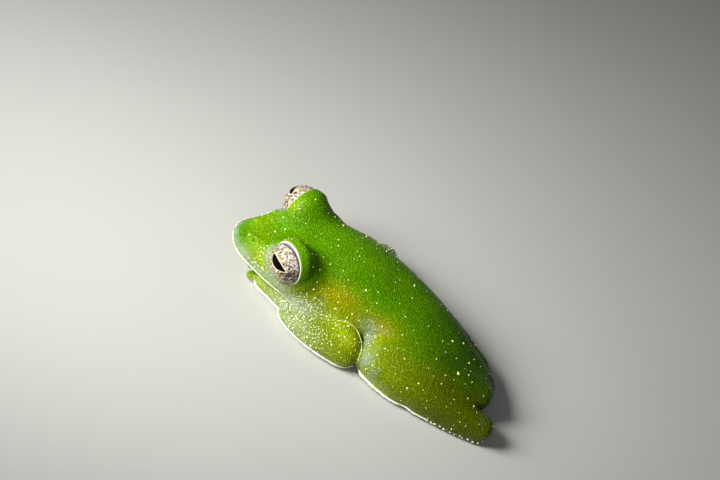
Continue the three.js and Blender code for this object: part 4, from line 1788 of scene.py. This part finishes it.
@dataclass(frozen=True)
class Lamp:
    """A soft square light that looks at the frog. Louvres keep it off the floor around.

    Its distance and width are in metres.
    """

    name: str
    toward: Row  # the way from the frog to the lamp
    distance: float
    width: float
    watts: float
    spread: float = 180.0  # in degrees
    aim_back: float = 13.97  # millimetres behind the snout's tip, where it looks


@dataclass(frozen=True)
class Studio:
    """A pale floor, soft lights and the camera."""

    plan: BodyPlan
    azimuth: float = 78.5
    elevation: float = 40.2
    roll: float = 40.2
    aim: Row = (0.0, 13.5, 3.0)  # the place that the view was fitted round
    off_right: float = -1.344  # from that place to the middle of the view, in millimetres
    off_up: float = 4.795
    distance: float = 285.7
    lens: float = 166.9
    floor_size: float = 1.5  # in metres
    floor_gap: float = 0.01
    clip: Span = (0.005, 10.0)  # in metres
    air: str = "#dfe6ea"
    air_strength: float = 0.1
    lamps: tuple[Lamp, ...] = (
        Lamp("key", (0.48, -0.74, 0.54), 0.12, 0.055, 0.0275, 45.0, 5.5),
        Lamp("fill", (0.9, -0.1, 0.8), 0.5, 0.4, 0.2),
    )

    def floor(self, finish: Finish) -> None:
        """Lays the floor, a hair under the frog."""
        bm = bmesh.new()
        bmesh.ops.create_grid(bm, x_segments=4, y_segments=4, size=self.floor_size)
        bmesh.ops.translate(bm, verts=bm.verts, vec=(0, 0, -self.floor_gap * MM))
        mesh = mesh_of(bm, "floor")
        mesh.materials.append(finish.material())
        piece = placed("floor", mesh)

    def light(self) -> None:
        """Hangs the lamps and sets the air's own light."""
        for lamp in self.lamps:
            data = bpy.data.lights.new(lamp.name, "AREA")
            data.energy = lamp.watts
            data.size = lamp.width
            data.spread = math.radians(lamp.spread)
            piece = placed(lamp.name, data)
            toward = Vector(lamp.toward).normalized()
            piece.location = toward * lamp.distance + Vector((0, (lamp.aim_back + self.plan.snout_y) * MM, 0))
            piece.rotation_euler = toward.to_track_quat("Z", "Y").to_euler()
        world = bpy.data.worlds.new("air")
        world.use_nodes = True
        air = world.node_tree.nodes["Background"].inputs
        air["Color"].default_value = linear(self.air)
        air["Strength"].default_value = self.air_strength
        bpy.context.scene.world = world
        bpy.context.scene.view_settings.view_transform = "Standard"

    def camera(self) -> None:
        """Sets the camera where the frog was seen from, rolled as it was held."""
        azimuth, elevation, roll = (math.radians(a) for a in (self.azimuth, self.elevation, self.roll))
        away = Vector(
            (
                math.sin(azimuth) * math.cos(elevation),
                -math.cos(azimuth) * math.cos(elevation),
                math.sin(elevation),
            )
        )
        right = Vector((0, 0, 1)).cross(away).normalized()
        up = away.cross(right)
        rolled_right = math.cos(roll) * right + math.sin(roll) * up
        rolled_up = math.cos(roll) * up - math.sin(roll) * right
        middle = Vector(self.plan.at(self.aim)) + self.off_right * rolled_right + self.off_up * rolled_up
        data = bpy.data.cameras.new("camera")
        data.lens = self.lens
        data.clip_start, data.clip_end = self.clip
        piece = placed("camera", data)
        turn = Matrix((rolled_right, rolled_up, away)).transposed().to_4x4()
        piece.matrix_world = Matrix.Translation((middle + away * self.distance) * MM) @ turn
        bpy.context.scene.camera = piece


def on_side(places: Rows, side: Side) -> Rows:
    """Places that are given for the left, on either side."""
    return tuple((side.value * left, *rest) for left, *rest in places)


def skin_edges(skin: Skin, plan: BodyPlan) -> list[SkinEdge]:
    """The white edges: along the upper lip, under each forearm, round each elbow and along the left outer foot."""
    white = EnamelFinish()
    cream = EnamelFinish("cream_lip_edge", "#efe8c0", "#c9d092")
    yellow = EnamelFinish("yellow_elbow_rim", "#dfe27e", "#b4c040")
    lip_taper = (1.0, 1.1, 1.2, 1.0, 0.6, 0.05)
    arm_taper = (0.3, 0.6, 0.7, 0.8, 1.1, 1.4, 1.2, 0.9, 0.6)
    rim_taper = (0.3, 0.8, 1.0, 1.0, 1.0, 0.8)
    leg_taper = (0.9, 1.3, 1.2, 0.9, 0.8, 0.4)
    lip_out, lip_ahead = 1.1, 0.12  # how much wider than the lip's middle its face lies, and how far ahead
    edges = []
    for side in Side:
        lip = tuple(
            (lip_out * left, back - lip_ahead, height) for left, back, height in skin.trunk.lip_places(plan, side)
        )
        arm, rim = on_side(skin.arm.edge(), side), on_side(skin.arm.elbow_rim, side)
        edges += [
            SkinEdge(f"lip_edge_{side.word}", lip, cream, 0.045, lip_taper, whitens=False, turn=True),
            SkinEdge(f"arm_edge_{side.word}", arm, white, 0.058, arm_taper),
            SkinEdge(f"elbow_rim_{side.word}", rim, yellow, 0.045, rim_taper, whitens=False),
        ]
    edges.append(SkinEdge("leg_edge_left", LEFT_LEG.edge(), white, 0.055, leg_taper))
    return edges


FLESH = ("head", "lower_jaw", "torso")
LIMBS = ("upper_arm", "forearm", "hand", "thigh", "shank", "tarsus", "foot")


def main() -> None:
    """Builds the frog, piece by piece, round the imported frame."""
    logging.basicConfig(level=logging.INFO, format="%(message)s")
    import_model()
    plan = BodyPlan()
    skin = Skin(plan)
    surface = skin.build()
    tree = surface.tree()
    lines = {edge: edge.path(plan, tree) for edge in skin_edges(skin, plan)}
    for edge, line in lines.items():
        edge.build(line)
    white = [line for edge, line in lines.items() if edge.whitens]
    lips = [line for edge, line in lines.items() if edge.turn]
    Markings().mark(surface, skin, white, lips)
    Warts().build(surface, plan, tree, WartFinish())
    covered = [*FLESH, *(f"{limb}_{side.word}" for limb in LIMBS for side in Side)]
    finished(surface.mesh, "skin", SkinFinish(), "skin_back", *covered)
    for side in Side:
        eye = Eye(side, plan)
        eye.ball(IrisFinish())
        eye.margin(LidFinish())
    studio = Studio(plan)
    studio.floor(FloorFinish())
    studio.light()
    studio.camera()


if __name__ == "__main__":
    main()
